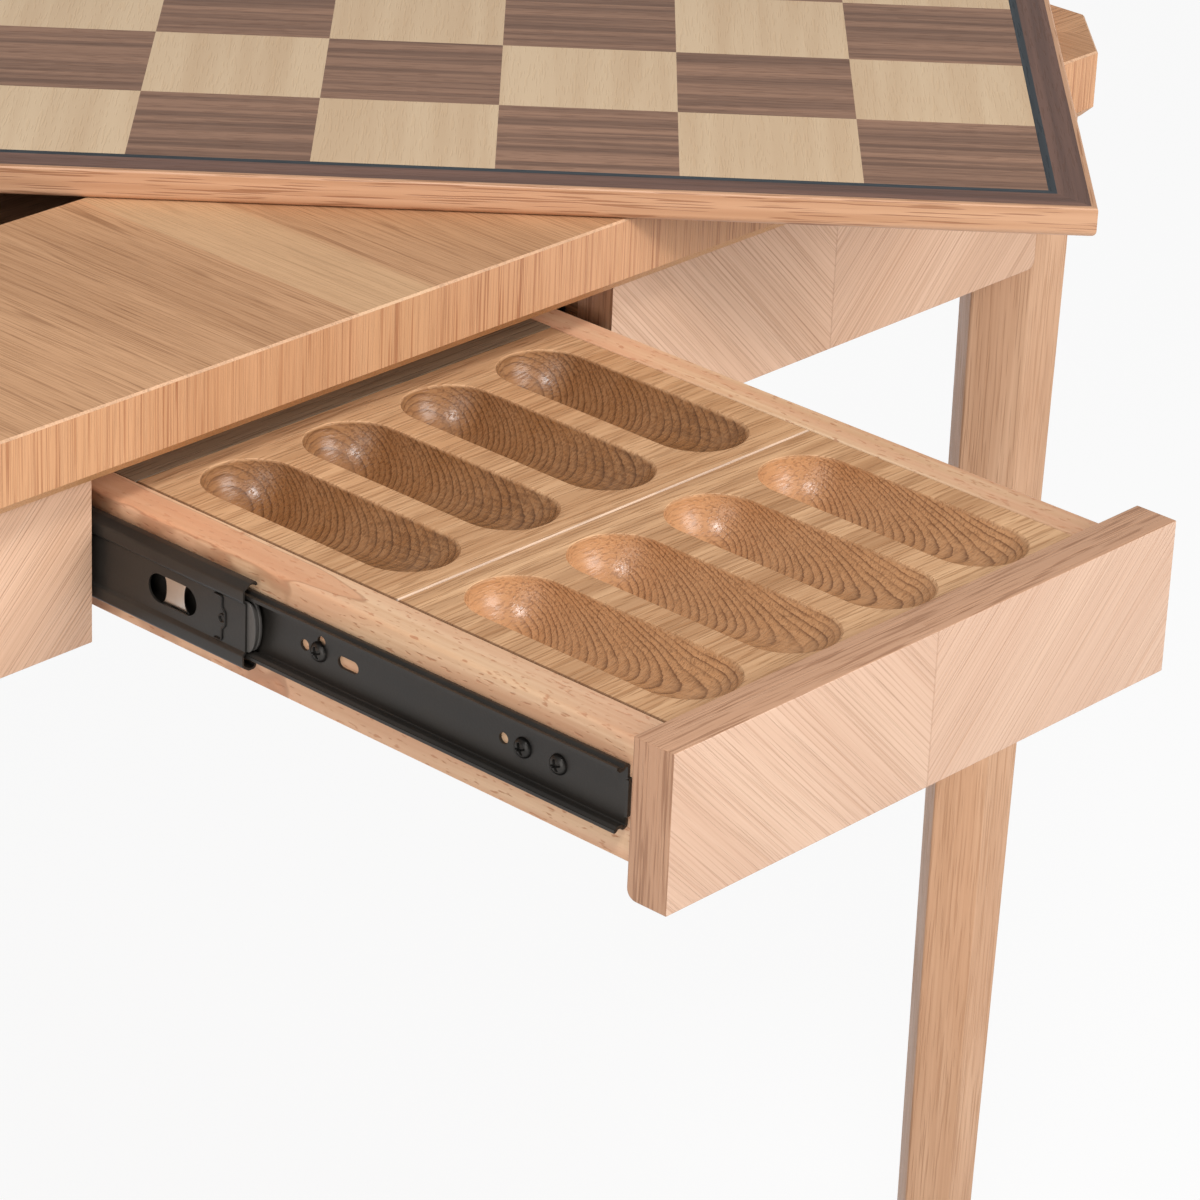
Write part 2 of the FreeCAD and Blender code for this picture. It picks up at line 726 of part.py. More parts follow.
def build_drawers():
    """Both drawers: the front one pulled out, the back one closed."""
    wood = drawer_box()
    steel = slide_pieces()
    cabinet_screws = []
    for end, travel in (("front", drawer_open_at_rest), ("back", 0)):
        middle_travel = travel * middle_travel_share
        for name, solid in wood.items():
            save(end + "_drawer_" + name, placed(solid, end, travel))
        travels = {
            "cabinet_rails": 0, "middle_rails": middle_travel, "slide_stops": middle_travel,
            "drawer_rails": travel, "drawer_rail_screws": travel,
            "outer_ball_cages": middle_travel / 2, "inner_ball_cages": (travel + middle_travel) / 2,
        }
        for name, distance in travels.items():
            save(end + "_" + name, [placed(solid, end, distance) for solid in steel[name]])
        cabinet_screws += [placed(solid, end, 0) for solid in steel["cabinet_rail_screws"]]
    save("cabinet_rail_screws", cabinet_screws)


def main():
    """Builds every piece and writes its node."""
    os.makedirs("parts", exist_ok=True)
    build_top()
    build_board()
    build_legs()
    build_aprons()
    build_runners()
    build_drawers()


main()
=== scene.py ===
"""Looks of a chess table with a lift-out inlaid board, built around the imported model."""

import logging
import math
from dataclasses import dataclass, replace
from enum import Enum
from typing import NamedTuple, Sequence, Union

import bmesh
import bpy
import numpy as np
from mathutils import Matrix, Vector


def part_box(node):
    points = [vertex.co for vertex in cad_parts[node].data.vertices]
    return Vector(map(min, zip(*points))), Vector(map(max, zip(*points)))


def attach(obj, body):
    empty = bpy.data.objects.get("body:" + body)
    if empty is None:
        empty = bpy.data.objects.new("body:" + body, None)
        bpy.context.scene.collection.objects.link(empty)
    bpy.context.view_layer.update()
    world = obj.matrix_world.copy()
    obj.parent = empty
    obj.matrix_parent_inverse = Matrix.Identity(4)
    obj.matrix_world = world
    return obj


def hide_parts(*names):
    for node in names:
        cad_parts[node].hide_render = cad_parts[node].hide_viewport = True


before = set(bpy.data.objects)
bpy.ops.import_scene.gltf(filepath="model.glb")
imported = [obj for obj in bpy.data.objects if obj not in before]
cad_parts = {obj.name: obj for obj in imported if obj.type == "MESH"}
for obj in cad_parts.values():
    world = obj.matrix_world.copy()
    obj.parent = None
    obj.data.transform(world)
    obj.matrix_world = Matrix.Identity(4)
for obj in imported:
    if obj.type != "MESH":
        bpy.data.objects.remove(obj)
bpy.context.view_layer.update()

LOG = logging.getLogger("chess_table")
MM = 0.001
MERGE = 0.002 * MM  # points nearer than this become one
CREASE = math.radians(32.0)  # edges that turn by more than this stay sharp
DIGITS = 6  # decimals that are kept where equal points are merged
SIDES = (-1, 1)  # left and right, or lower and upper
DIAGONAL = math.sqrt(0.5)  # sine and cosine of an eighth of a turn
Array = np.ndarray
Colour = tuple[float, float, float, float]


class Axis(Enum):
    """The direction that a bar runs in."""

    X = 0
    Y = 1
    Z = 2


class End(Enum):
    """The two ends of the table that have a drawer, with the way into the table along Y."""

    FRONT = ("front", 1)
    BACK = ("back", -1)

    @property
    def word(self) -> str:
        """The word that this end's node names start with."""
        return self.value[0]

    @property
    def inward(self) -> int:
        """+1 where a drawer closes along +Y, and -1 where it closes along -Y."""
        return self.value[1]


def tone(red: float, green: float, blue: float) -> Colour:
    """Turns a screen colour into the linear one that shaders take.

    Args:
        red: Red, 0 to 255.
        green: Green, 0 to 255.
        blue: Blue, 0 to 255.

    Returns:
        Linear red, green, blue and an alpha of one.
    """
    share = np.array([red, green, blue]) / 255.0
    linear = np.where(share <= 0.04045, share / 12.92, ((share + 0.055) / 1.055) ** 2.4)
    return (*linear.tolist(), 1.0)


def span(node: str) -> tuple[Array, Array]:
    """Lowest and highest corner of a CAD node, in millimetres."""
    low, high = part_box(node)
    return np.array(low) / MM, np.array(high) / MM


def grid_faces(rows: int, columns: int, first: int, closed: bool) -> list[list[int]]:
    """Lists the quads of a grid whose points are numbered row by row.

    Quad (r, c) joins (r, c), (r, c+1), (r+1, c+1) and (r+1, c). A closed grid joins its last column to its first.

    Args:
        rows: Count of rows.
        columns: Count of columns.
        first: Number of the grid's first point.
        closed: Whether each row is a ring.

    Returns:
        The quads, as lists of point numbers.
    """
    column = np.arange(columns if closed else columns - 1)
    row = np.arange(rows - 1)[:, None] * columns
    here = row + column
    beside = row + (column + 1) % columns
    quads = np.stack([here, beside, beside + columns, here + columns], axis=-1)
    return (first + quads.reshape(-1, 4)).tolist()


def rounded_line(corners: Sequence, radii: Union[float, Sequence[float]], steps: int = 5, closed: bool = True) -> Array:
    """Rounds the corners of a flat line.

    Where the line turns by an angle a, an arc of radius r starts r tan(a/2) before the corner. Its points are
    centre + r (d sin t - n cos t) for t from 0 to a, where d is the way in and n points to the arc's centre.

    Args:
        corners: The line's corners, two numbers each.
        radii: One radius, or one for each corner.
        steps: Count of steps along each arc.
        closed: Whether the line is a ring. An open line keeps its two ends.

    Returns:
        The points of the line with arcs at its corners.
    """
    points = np.asarray(corners, float)
    radius = np.broadcast_to(np.asarray(radii, float), len(points))[:, None]
    into = points - np.roll(points, 1, axis=0)
    into = into / np.linalg.norm(into, axis=1, keepdims=True)
    out = np.roll(into, -1, axis=0)
    turn = np.arctan2(into[:, 0] * out[:, 1] - into[:, 1] * out[:, 0], (into * out).sum(axis=1))
    normal = np.stack([-into[:, 1], into[:, 0]], axis=1) * np.where(turn < 0, -1, 1)[:, None]
    start = points - into * radius * np.tan(np.abs(turn) / 2)[:, None]
    centre = start + normal * radius
    t = (np.linspace(0, 1, steps + 1) * np.abs(turn)[:, None])[..., None]
    arcs = centre[:, None] + radius[:, None] * (into[:, None] * np.sin(t) - normal[:, None] * np.cos(t))
    if closed:
        return arcs.reshape(-1, 2)
    return np.concatenate([points[:1], arcs[1:-1].reshape(-1, 2), points[-1:]])


def inward_normals(outline: Array) -> Array:
    """Finds unit normals to the inside of a ring: each is the left normal of the line past its point.

    Args:
        outline: Anticlockwise ring of points.

    Returns:
        One normal for each point.
    """
    ahead = np.roll(outline, -1, axis=0) - np.roll(outline, 1, axis=0)
    ahead = ahead / np.linalg.norm(ahead, axis=1, keepdims=True)
    return np.stack([-ahead[:, 1], ahead[:, 0]], axis=1)


def bar_rows(outline: Array, axis: Axis, start: float, end: float, ease: float, steps: int = 3) -> Array:
    """Carries a closed outline along an axis, with eased ends.

    Ring t is drawn in by e (1 - sin t) and stands e (1 - cos t) from its end, for t from 0 to a quarter turn.

    Args:
        outline: Anticlockwise ring, in the two axes that follow the bar's own in the order X, Y, Z, X.
        axis: The bar's direction.
        start: Where the bar starts.
        end: Where it ends.
        ease: Radius of the eased ends.
        steps: Count of steps in the ease.

    Returns:
        Points by ring and by place on the outline.
    """
    t = np.linspace(0, math.pi / 2, steps + 1)
    run = ease * (1 - np.cos(t))
    drawn = ease * (1 - np.sin(t))
    places = np.concatenate([start + run, (end - run)[::-1]])
    insets = np.concatenate([drawn, drawn[::-1]])
    rings = outline + insets[:, None, None] * inward_normals(outline)
    points = np.empty((*rings.shape[:2], 3))
    points[..., axis.value] = places[:, None]
    points[..., (axis.value + 1) % 3] = rings[..., 0]
    points[..., (axis.value + 2) % 3] = rings[..., 1]
    return points


def tube_rows(path: Array, radius: float, sides: int = 8) -> Array:
    """Carries a circle along a path.

    Ring k is path[k] + radius (u cos a + v sin a), where u and v are square to the path there.

    Args:
        path: Points of the path, three numbers each.
        radius: Radius of the tube.
        sides: Count of sides round the tube.

    Returns:
        Points by ring and by angle.
    """
    ahead = np.gradient(path, axis=0)
    ahead = ahead / np.linalg.norm(ahead, axis=1, keepdims=True)
    u = np.cross(ahead, [1.0, 0.0, 0.0])
    u = u / np.linalg.norm(u, axis=1, keepdims=True)
    v = np.cross(ahead, u)
    a = np.linspace(0, 2 * math.pi, sides, endpoint=False)[:, None]
    return path[:, None] + radius * (u[:, None] * np.cos(a) + v[:, None] * np.sin(a))


def cell_rim(xs: Array, ys: Array) -> Array:
    """Samples the rim of a rectangle as an anticlockwise ring.

    Args:
        xs: Places along its lower and upper sides.
        ys: Places along its left and right sides.

    Returns:
        The ring's points, from the lower right corner on.
    """
    right = np.stack([np.full(len(ys) - 1, xs[-1]), ys[:-1]], axis=1)
    top = np.stack([xs[:0:-1], np.full(len(xs) - 1, ys[-1])], axis=1)
    left = np.stack([np.full(len(ys) - 1, xs[0]), ys[:0:-1]], axis=1)
    low = np.stack([xs[:-1], np.full(len(xs) - 1, ys[0])], axis=1)
    return np.concatenate([right, top, left, low])


class Rays(NamedTuple):
    """Lines from a slot's middle line to the rim of the cell round it."""

    foot: Array
    way: Array
    reach: Array


def slot_rays(rim: Array, centre: Sequence[float], half_run: float, along: int) -> Rays:
    """Joins each rim point to the nearest point of a slot's middle line.

    A point at distance s along a ray is foot + s way, so s = radius gives a round-ended slot, and s = reach the rim.

    Args:
        rim: Ring of the cell round the slot.
        centre: Middle of the slot.
        half_run: Half the length of the slot's straight middle line.
        along: Which of the two numbers the slot runs along.

    Returns:
        The feet, directions and lengths of the rays.
    """
    offset = rim - np.asarray(centre)
    middle = np.zeros_like(offset)
    middle[:, along] = np.clip(offset[:, along], -half_run, half_run)
    ray = offset - middle
    reach = np.linalg.norm(ray, axis=1)
    return Rays(middle + np.asarray(centre), ray / reach[:, None], reach)


class Shell:
    """Gathers patches of surface, in millimetres, and makes one piece of them."""

    def __init__(self, name: str) -> None:
        """Starts an empty piece.

        Args:
            name: The piece's name.
        """
        self.name = name
        self.points: list[Array] = []
        self.faces: list[list[int]] = []
        self.count = 0

    def grid(self, points: Array, closed: bool = False) -> None:
        """Adds a patch of quads.

        Args:
            points: The patch's points, by row and column.
            closed: Whether each row is a ring.
        """
        rows, columns = points.shape[:2]
        self.faces += grid_faces(rows, columns, self.count, closed)
        self.points.append(points.reshape(-1, 3))
        self.count += rows * columns

    def cap(self, ring: Array) -> None:
        """Adds one flat face.

        Args:
            ring: The points round it.
        """
        self.faces.append(list(range(self.count, self.count + len(ring))))
        self.points.append(ring)
        self.count += len(ring)

    def solid(self, rows: Array) -> None:
        """Adds rings joined into a closed solid: a closed grid with a cap at each end.

        Args:
            rows: The rings' points, ring by ring.
        """
        self.grid(rows, closed=True)
        self.cap(rows[0])
        self.cap(rows[-1])

    def make(self, body: str, finish: bpy.types.Material, slot: str, nodes: Sequence[str] = (),
             wall: float = 0.0) -> None:
        """Makes the piece, closes its seams and lets it ride on its body.

        Args:
            body: The body that carries the piece.
            finish: The piece's material.
            slot: The record's material slot. Not used.
            nodes: CAD nodes that the piece stands for.
            wall: Thickness of a sheet, half to each side, in millimetres. A closed solid has none.
        """
        mesh = bpy.data.meshes.new(self.name)
        mesh.from_pydata((np.concatenate(self.points) * MM).tolist(), [], self.faces)
        work = bmesh.new()
        work.from_mesh(mesh)
        bmesh.ops.remove_doubles(work, verts=work.verts, dist=MERGE)
        bmesh.ops.recalc_face_normals(work, faces=work.faces)
        work.to_mesh(mesh)
        work.free()
        piece = bpy.data.objects.new(self.name, mesh)
        bpy.context.scene.collection.objects.link(piece)
        if wall:
            self._thicken(piece, wall)
        piece.data.shade_smooth()
        piece.data.set_sharp_from_angle(angle=CREASE)
        piece.data.materials.append(finish)
        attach(piece, body)
        if nodes:
            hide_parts(*nodes)
        LOG.info("%s: %d faces on %s", self.name, len(piece.data.polygons), body)

    @staticmethod
    def _thicken(piece: bpy.types.Object, wall: float) -> None:
        """Gives a sheet its thickness, half to each side, and keeps the result in its mesh.

        Args:
            piece: The sheet.
            wall: Its thickness, in millimetres.
        """
        modifier = piece.modifiers.new("wall", "SOLIDIFY")
        modifier.thickness = wall * MM
        modifier.offset = 0.0
        modifier.use_even_offset = True
        graph = bpy.context.evaluated_depsgraph_get()
        thick = bpy.data.meshes.new_from_object(piece.evaluated_get(graph))
        piece.modifiers.clear()
        piece.data = thick


class Signal:
    """A shader socket that takes part in Python sums."""

    def __init__(self, bench: "Bench", socket: bpy.types.NodeSocket) -> None:
        """Wraps an output socket of that bench's tree."""
        self.bench = bench
        self.socket = socket

    def of(self, name: str) -> "Signal":
        """Another output of the same node."""
        return Signal(self.bench, self.socket.node.outputs[name])

    def _sum(self, operation: str, first: "Value", second: "Value" = 0.0) -> "Signal":
        """One Math node on two values."""
        return self.bench.node("ShaderNodeMath", {"operation": operation}, {0: first, 1: second})

    def __add__(self, other: "Value") -> "Signal":
        """self + other."""
        return self._sum("ADD", self, other)

    def __radd__(self, other: "Value") -> "Signal":
        """other + self."""
        return self._sum("ADD", other, self)

    def __sub__(self, other: "Value") -> "Signal":
        """self - other."""
        return self._sum("SUBTRACT", self, other)

    def __rsub__(self, other: "Value") -> "Signal":
        """other - self."""
        return self._sum("SUBTRACT", other, self)

    def __mul__(self, other: "Value") -> "Signal":
        """self * other."""
        return self._sum("MULTIPLY", self, other)

    def __rmul__(self, other: "Value") -> "Signal":
        """other * self."""
        return self._sum("MULTIPLY", other, self)

    def __truediv__(self, other: "Value") -> "Signal":
        """self / other."""
        return self._sum("DIVIDE", self, other)

    def __rtruediv__(self, other: "Value") -> "Signal":
        """other / self."""
        return self._sum("DIVIDE", other, self)

    def __gt__(self, other: "Value") -> "Signal":
        """One where self is above other, else zero."""
        return self._sum("GREATER_THAN", self, other)

    def __lt__(self, other: "Value") -> "Signal":
        """One where self is below other, else zero."""
        return self._sum("LESS_THAN", self, other)

    def __abs__(self) -> "Signal":
        """Size of self without its sign."""
        return self._sum("ABSOLUTE", self)

    def floor(self) -> "Signal":
        """The whole number below self."""
        return self._sum("FLOOR", self)

    def sine(self) -> "Signal":
        """Sine of self, in radians."""
        return self._sum("SINE", self)

    def folded(self, half: float) -> "Signal":
        """Self run to and fro between zero and half."""
        return self._sum("PINGPONG", self, half)

    def largest(self, other: "Value") -> "Signal":
        """The larger of self and other."""
        return self._sum("MAXIMUM", self, other)


Value = Union[Signal, float]


class Axes(NamedTuple):
    """Three numbers of a place or a direction."""

    x: Signal
    y: Signal
    z: Signal


class Bench:
    """The tree of nodes of one material or world, with short ways to add to it."""

    def __init__(self, name: str, for_world: bool = False) -> None:
        """Starts an empty tree.

        Args:
            name: Name of the material or world.
            for_world: Whether the tree is a world's.
        """
        self.owner = (bpy.data.worlds if for_world else bpy.data.materials).new(name)
        self.owner.use_nodes = True
        self.tree = self.owner.node_tree
        self.tree.nodes.clear()
        self.end_kind = "ShaderNodeOutputWorld" if for_world else "ShaderNodeOutputMaterial"

    def node(self, kind: str, settings: dict | None = None, sockets: dict | None = None,
             output: Union[int, str] = 0) -> Signal:
        """Adds a node: its settings first, then the values or links of its sockets.

        Args:
            kind: The node's type.
            settings: Its settings by name.
            sockets: Values or signals by the socket's name or number.
            output: Which output to hand back.

        Returns:
            The chosen output.
        """
        made = self.tree.nodes.new(kind)
        for key, value in (settings or {}).items():
            setattr(made, key, value)
        for key, value in (sockets or {}).items():
            if isinstance(value, Signal):
                self.tree.links.new(value.socket, made.inputs[key])
            else:
                made.inputs[key].default_value = value
        return Signal(self, made.outputs[output])

    def axes(self, vector: Signal) -> Axes:
        """Splits a vector into its three numbers."""
        parts = self.node("ShaderNodeSeparateXYZ", sockets={0: vector})
        return Axes(parts, parts.of("Y"), parts.of("Z"))

    def place(self) -> Axes:
        """Where a point of the piece is, in metres."""
        return self.axes(self.node("ShaderNodeTexCoord", output="Object"))

    def facing(self) -> Axes:
        """Which way the surface faces there."""
        return self.axes(self.node("ShaderNodeTexCoord", output="Normal"))

    def noise(self, x: Value, y: Value, z: Value, detail: float = 1.0) -> Signal:
        """Smooth noise, near a half, of three numbers that are already scaled."""
        spot = self.node("ShaderNodeCombineXYZ", sockets={0: x, 1: y, 2: z})
        return self.node("ShaderNodeTexNoise", sockets={"Vector": spot, "Scale": 1.0, "Detail": detail})

    def chance(self, x: Value, y: Value = 0.0) -> Signal:
        """A number from 0 to 1 that jumps with each whole x and y."""
        spot = self.node("ShaderNodeCombineXYZ", sockets={0: x, 1: y})
        return self.node("ShaderNodeTexWhiteNoise", {"noise_dimensions": "2D"}, {"Vector": spot})

    def rise(self, value: Value, low: float, high: float) -> Signal:
        """Goes smoothly from 0 at low to 1 at high."""
        return self.node("ShaderNodeMapRange", {"interpolation_type": "SMOOTHSTEP"},
                         {"Value": value, "From Min": low, "From Max": high})

    def patches(self, x: Value, y: Value, z: Value, low: float, high: float, detail: float = 1.0) -> Signal:
        """Patches of a noise: zero where it is below low, and one where it is above high."""
        return self.rise(self.noise(x, y, z, detail), low, high)

    def ridge(self, x: Value, y: Value, z: Value, detail: float) -> Signal:
        """Thin lines along which a noise passes its middle value: one on them, and zero beside them."""
        return self.rise(abs(self.noise(x, y, z, detail) - 0.5), 0.055, 0.012)

    def blend(self, share: Value, first: Union[Signal, Colour], second: Union[Signal, Colour]) -> Signal:
        """A colour that goes from first to second."""
        return self.node("ShaderNodeMix", {"data_type": "RGBA"}, {0: share, 6: first, 7: second}, 2)

    def layers(self, colour: Signal, *coats: tuple[Value, Colour]) -> Signal:
        """Lays coats over a colour, one after the other.

        Args:
            colour: The colour below them.
            coats: Share and colour of each coat.

        Returns:
            The colour on top.
        """
        for share, coat in coats:
            colour = self.blend(share, colour, coat)
        return colour

    def pick(self, mask: Signal, first: Value, second: Value) -> Signal:
        """The first value where mask is one, and the second where it is zero."""
        return mask * first + (1.0 - mask) * second

    def close(self, colour: Signal, roughness: Value, height: Value, rise: float,
              **constants: float) -> bpy.types.Material:
        """Ends the tree with one shader.

        Args:
            colour: Base colour.
            roughness: Roughness.
            height: Relief, 0 to 1.
            rise: Height of the relief, in metres.
            constants: Other sockets of the shader, by name with _ for a space.

        Returns:
            The finished material.
        """
        bump = self.node("ShaderNodeBump", sockets={"Strength": 1.0, "Distance": rise, "Height": height})
        fixed = {key.replace("_", " "): value for key, value in constants.items()}
        shader = self.node("ShaderNodeBsdfPrincipled", sockets={
            "Base Color": colour, "Roughness": roughness, "Normal": bump, **fixed})
        self.node_end(shader)
        return self.owner

    def node_end(self, shader: Signal) -> None:
        """Joins a shader to the tree's output."""
        end = self.tree.nodes.new(self.end_kind)
        self.tree.links.new(shader.socket, end.inputs["Surface"])


class Grain(NamedTuple):
    """What a wood gives at a point: its colour, its relief and its roughness."""

    colour: Signal
    height: Signal
    roughness: Signal


@dataclass(frozen=True)
class Oak:
    """Open-pored oak under satin lacquer. Sizes of its figure are counts per metre."""

    pale: Colour
    deep: Colour
    pore: Colour
    broad: float = 38.0
    broad_run: float = 3.5
    streaks: float = 800.0
    streak_run: float = 6.0
    pores: float = 1250.0
    dashes: float = 28.0
    streak_share: float = 0.5
    pore_share: float = 0.5
    pore_edge: float = 0.52
    pore_blur: float = 0.12
    roughness: float = 0.4
    relief: float = 0.0001
    waver: float = 0.014
    hairs: float = 420.0
    hair_run: float = 7.0
    hair_share: float = 0.0
    seed_step: float = 3.7

    def grain(self, bench: Bench, along: Value, across: Value, depth: Value, seed: Value = 0.0) -> Grain:
        """Figure of the wood from three noises drawn out along the grain: broad bands, streaks and pore dashes.

        Args:
            bench: The material's bench.
            along: Metres along the grain.
            across: Metres across it.
            depth: Metres square to both.
            seed: Moves the figure, so that leaves differ.

        Returns:
            Colour, relief and roughness.
        """
        run = along + seed * self.seed_step
        over = across + bench.noise(run * 2.6, across * 9.0, depth * 9.0) * self.waver
        broad = bench.patches(run * self.broad_run, over * self.broad, depth * self.broad, 0.3, 0.7)
        streak = bench.patches(run * self.streak_run, over * self.streaks, depth * self.streaks, 0.32, 0.68, 2.0)
        pore = bench.patches(run * self.dashes, over * self.pores, depth * self.pores, self.pore_edge,
                             self.pore_edge + self.pore_blur)
        figure = streak * self.streak_share + broad * (1.0 - self.streak_share)
        colour = bench.blend(figure, self.deep, self.pale)
        colour = bench.blend(pore * self.pore_share, colour, self.pore)
        if self.hair_share:
            hair = bench.ridge(run * self.hair_run, over * self.hairs, depth * self.hairs, 0.0)
            broken = bench.patches(run * 20.0, over * 260.0, depth * 260.0, 0.4, 0.56)
            colour = bench.blend(hair * broken * self.hair_share, colour, self.pore)
        height = streak * 0.25 - pore
        return Grain(colour, height, pore * 0.2 + broad * 0.06 + self.roughness)


TOP_OAK = Oak(tone(217, 168, 126), tone(187, 138, 98), tone(144, 97, 61), streaks=1100.0, pores=1600.0, dashes=30.0,
              pore_share=0.28, waver=0.003, hair_share=0.6)
APRON_OAK = Oak(tone(222, 184, 156), tone(203, 162, 132), tone(152, 104, 74), streaks=1000.0, dashes=12.0,
                streak_share=0.4, pore_share=0.24, pore_edge=0.54)
FRONT_OAK = Oak(tone(214, 180, 155), tone(202, 164, 138), tone(158, 111, 82), streaks=1000.0, dashes=14.0,
                streak_share=0.4, pore_share=0.16, pore_edge=0.54)
LEG_OAK = Oak(tone(214, 171, 137), tone(187, 142, 107), tone(146, 100, 66), dashes=26.0, streak_share=0.4,
              pore_share=0.4)
DRAWER_OAK = Oak(tone(238, 204, 168), tone(212, 169, 131), tone(172, 104, 66), streaks=420.0, pores=800.0, dashes=210.0,
                 pore_edge=0.6, pore_share=0.6)
# painted shade: the drawer back is given a dark, grey tone, as it lies in the shadow under the top
SHADED_BACK_OAK = Oak(tone(150, 128, 104), tone(120, 100, 80), tone(86, 70, 54), pore_share=0.6)
TRAY_OAK = Oak(tone(222, 178, 135), tone(186, 138, 96), tone(150, 102, 62), streaks=520.0, pores=1100.0, dashes=48.0)
FRAME_OAK = Oak(tone(178, 134, 98), tone(148, 106, 74), tone(112, 76, 48), pore_share=0.4, roughness=0.62)


@dataclass(frozen=True)
class TopVeneer:
    """Veneered frame of the top: leaves laid square to each edge, the same grain carried down the edge band."""

    name: str
    along_y: bool
    leaf: float = 0.083
    leaf_start: float = 0.181
    leaf_tone: Colour = tone(180, 133, 95)
    leaf_share: float = 0.16
    sap: Colour = tone(222, 184, 140)
    sap_share: float = 0.4
    recess_half: float = 0.3
    walnut: Colour = tone(168, 124, 92)
    # painted highlight: the eased top edge is given a paler colour, as if it caught the light
    arris_highlight: Colour = tone(232, 198, 168)
    arris_highlight_share: float = 0.3
    band: Colour = tone(205, 153, 112)
    band_share: float = 0.72
    band_line: Colour = tone(150, 90, 54)
    chamfer: Colour = tone(192, 138, 86)
    chamfer_share: float = 0.75
    flat_above: float = 0.9
    band_below: float = 0.4

    def make(self) -> bpy.types.Material:
        """Lays leaves on the flat, upright grain on the band, a painted highlight on the arris, a brown chamfer and
        dark recess walls.

        Returns:
            The finished material.
        """
        bench = Bench(self.name)
        spot, face = bench.place(), bench.facing()
        long, wide = (spot.y, spot.x) if self.along_y else (spot.x, spot.y)
        flat = abs(face.z) > self.flat_above
        band = abs(face.z) < self.band_below
        bevel = (face.z < -self.band_below) * (face.z > -self.flat_above)
        # painted highlight: the faces of the eased edge that turn upwards
        arris_highlight = (face.z > self.band_below) * (face.z < self.flat_above)
        along = flat * long + band * spot.z + (1.0 - flat - band) * wide
        depth = flat * spot.z + (1.0 - flat) * long
        number = wide / self.leaf + self.leaf_start
        leaf = number.floor()
        seed = bench.chance(leaf)
        sap = bench.rise(number - leaf, 0.5, 0.42) * (abs(leaf) < 0.5)
        grain = TOP_OAK.grain(bench, along, wide, depth, seed)
        line = bench.ridge(wide * 560.0, long * 560.0, spot.z * 6.0, 1.0)
        strength = bench.noise(wide * 170.0, long * 170.0, spot.z * 4.0)
        inner = (abs(spot.x).largest(abs(spot.y)) < self.recess_half) * (1.0 - flat)
        colour = bench.layers(
            grain.colour, (seed * self.leaf_share, self.leaf_tone), (sap * self.sap_share, self.sap),
            (band * self.band_share, self.band), (line * band * strength, self.band_line),
            (bevel * self.chamfer_share, self.chamfer), (arris_highlight * self.arris_highlight_share, self.arris_highlight), (inner, self.walnut))
        return bench.close(colour, grain.roughness, grain.height, TOP_OAK.relief)


@dataclass(frozen=True)
class ChevronVeneer:
    """Veneer laid in a chevron on the upright faces: leaves meet at seams and their lines fall towards them."""

    name: str
    oak: Oak
    along_x: bool
    line_share: float = 0.0
    line_gap: float = 0.0021
    leaf: float = 0.13365
    facing_above: float = 0.7
    leaf_share: float = 0.2
    seam_and_gap_shadow_share: float = 0.3
    edge_share: float = 0.6
    dash_share: float = 0.5
    edge: Colour = tone(180, 129, 92)
    edge_dash: Colour = tone(128, 82, 52)

    def make(self) -> bpy.types.Material:
        """Folds the length at each seam, and turns the grain by an eighth of a turn on either side of it.

        Returns:
            The finished material.
        """
        bench = Bench(self.name)
        spot, face = bench.place(), bench.facing()
        long, through = (spot.x, spot.y) if self.along_x else (spot.y, spot.x)
        front = face.y if self.along_x else face.x
        side = face.x if self.along_x else face.y
        fold = long.folded(self.leaf)
        show = abs(front) > self.facing_above
        butt = abs(side) > self.facing_above
        along = bench.pick(show, (fold + spot.z) * DIAGONAL, bench.pick(butt, spot.z, long))
        across = bench.pick(show, (spot.z - fold) * DIAGONAL, bench.pick(butt, through, through + spot.z))
        seed = bench.chance((long / self.leaf).floor())
        grain = self.oak.grain(bench, along, across, through * 0.2, seed)
        seam_and_gap_shadow = bench.rise(fold, 0.0006, 0.0002) * show
        number = across / self.line_gap + bench.noise(along * 5.0, across * 260.0, seed * 9.0) * 1.1
        line = bench.rise(abs(number - number.floor() - 0.5), 0.16, 0.03)
        line = line * bench.patches(along * 16.0, across * 300.0, 0.5, 0.3, 0.6)
        dash = bench.patches(along * 38.0, across * 900.0, 0.5, 0.52, 0.66)
        rest = 1.0 - show
        colour = bench.layers(
            grain.colour, (seed * self.leaf_share, self.oak.deep), (seam_and_gap_shadow * self.seam_and_gap_shadow_share, self.oak.pore),
            (line * show * self.line_share, self.oak.pore), (rest * self.edge_share, self.edge),
            (rest * dash * self.dash_share, self.edge_dash))
        return bench.close(colour, grain.roughness, grain.height, self.oak.relief)


@dataclass(frozen=True)
class HeartTongue:
    """A tongue of pink heartwood in a board along Y: where its tip and middle line are, and how far it widens."""

    middle: float = -0.1155
    tip: float = -0.5547
    half_width: float = 0.0068
    length: float = 0.03
    heart: Colour = tone(206, 146, 108)
    rim: Colour = tone(142, 86, 54)
    heart_share: float = 0.6
    rim_share: float = 0.4
    wander_share: float = 0.5

    def stain(self, bench: Bench, spot: Axes, colour: Signal) -> Signal:
        """Colours the points whose squared share of the half width is below the share of the length from the tip.

        Args:
            bench: The material's tree.
            spot: The point.
            colour: The board's own colour.

        Returns:
            The colour with the tongue in it.
        """
        off = (spot.x - self.middle) / self.half_width
        reach = 1.0 - (1.0 - (spot.y - self.tip) / self.length).largest(0.0)
        wander = bench.noise(spot.x * 90.0, spot.y * 60.0, spot.z * 90.0) - 0.5
        inside = reach - off * off + wander * self.wander_share
        return bench.layers(colour, (bench.rise(inside, 0.0, 0.14) * self.heart_share, self.heart),
                            (bench.rise(abs(inside - 0.05), 0.1, 0.02) * self.rim_share, self.rim))


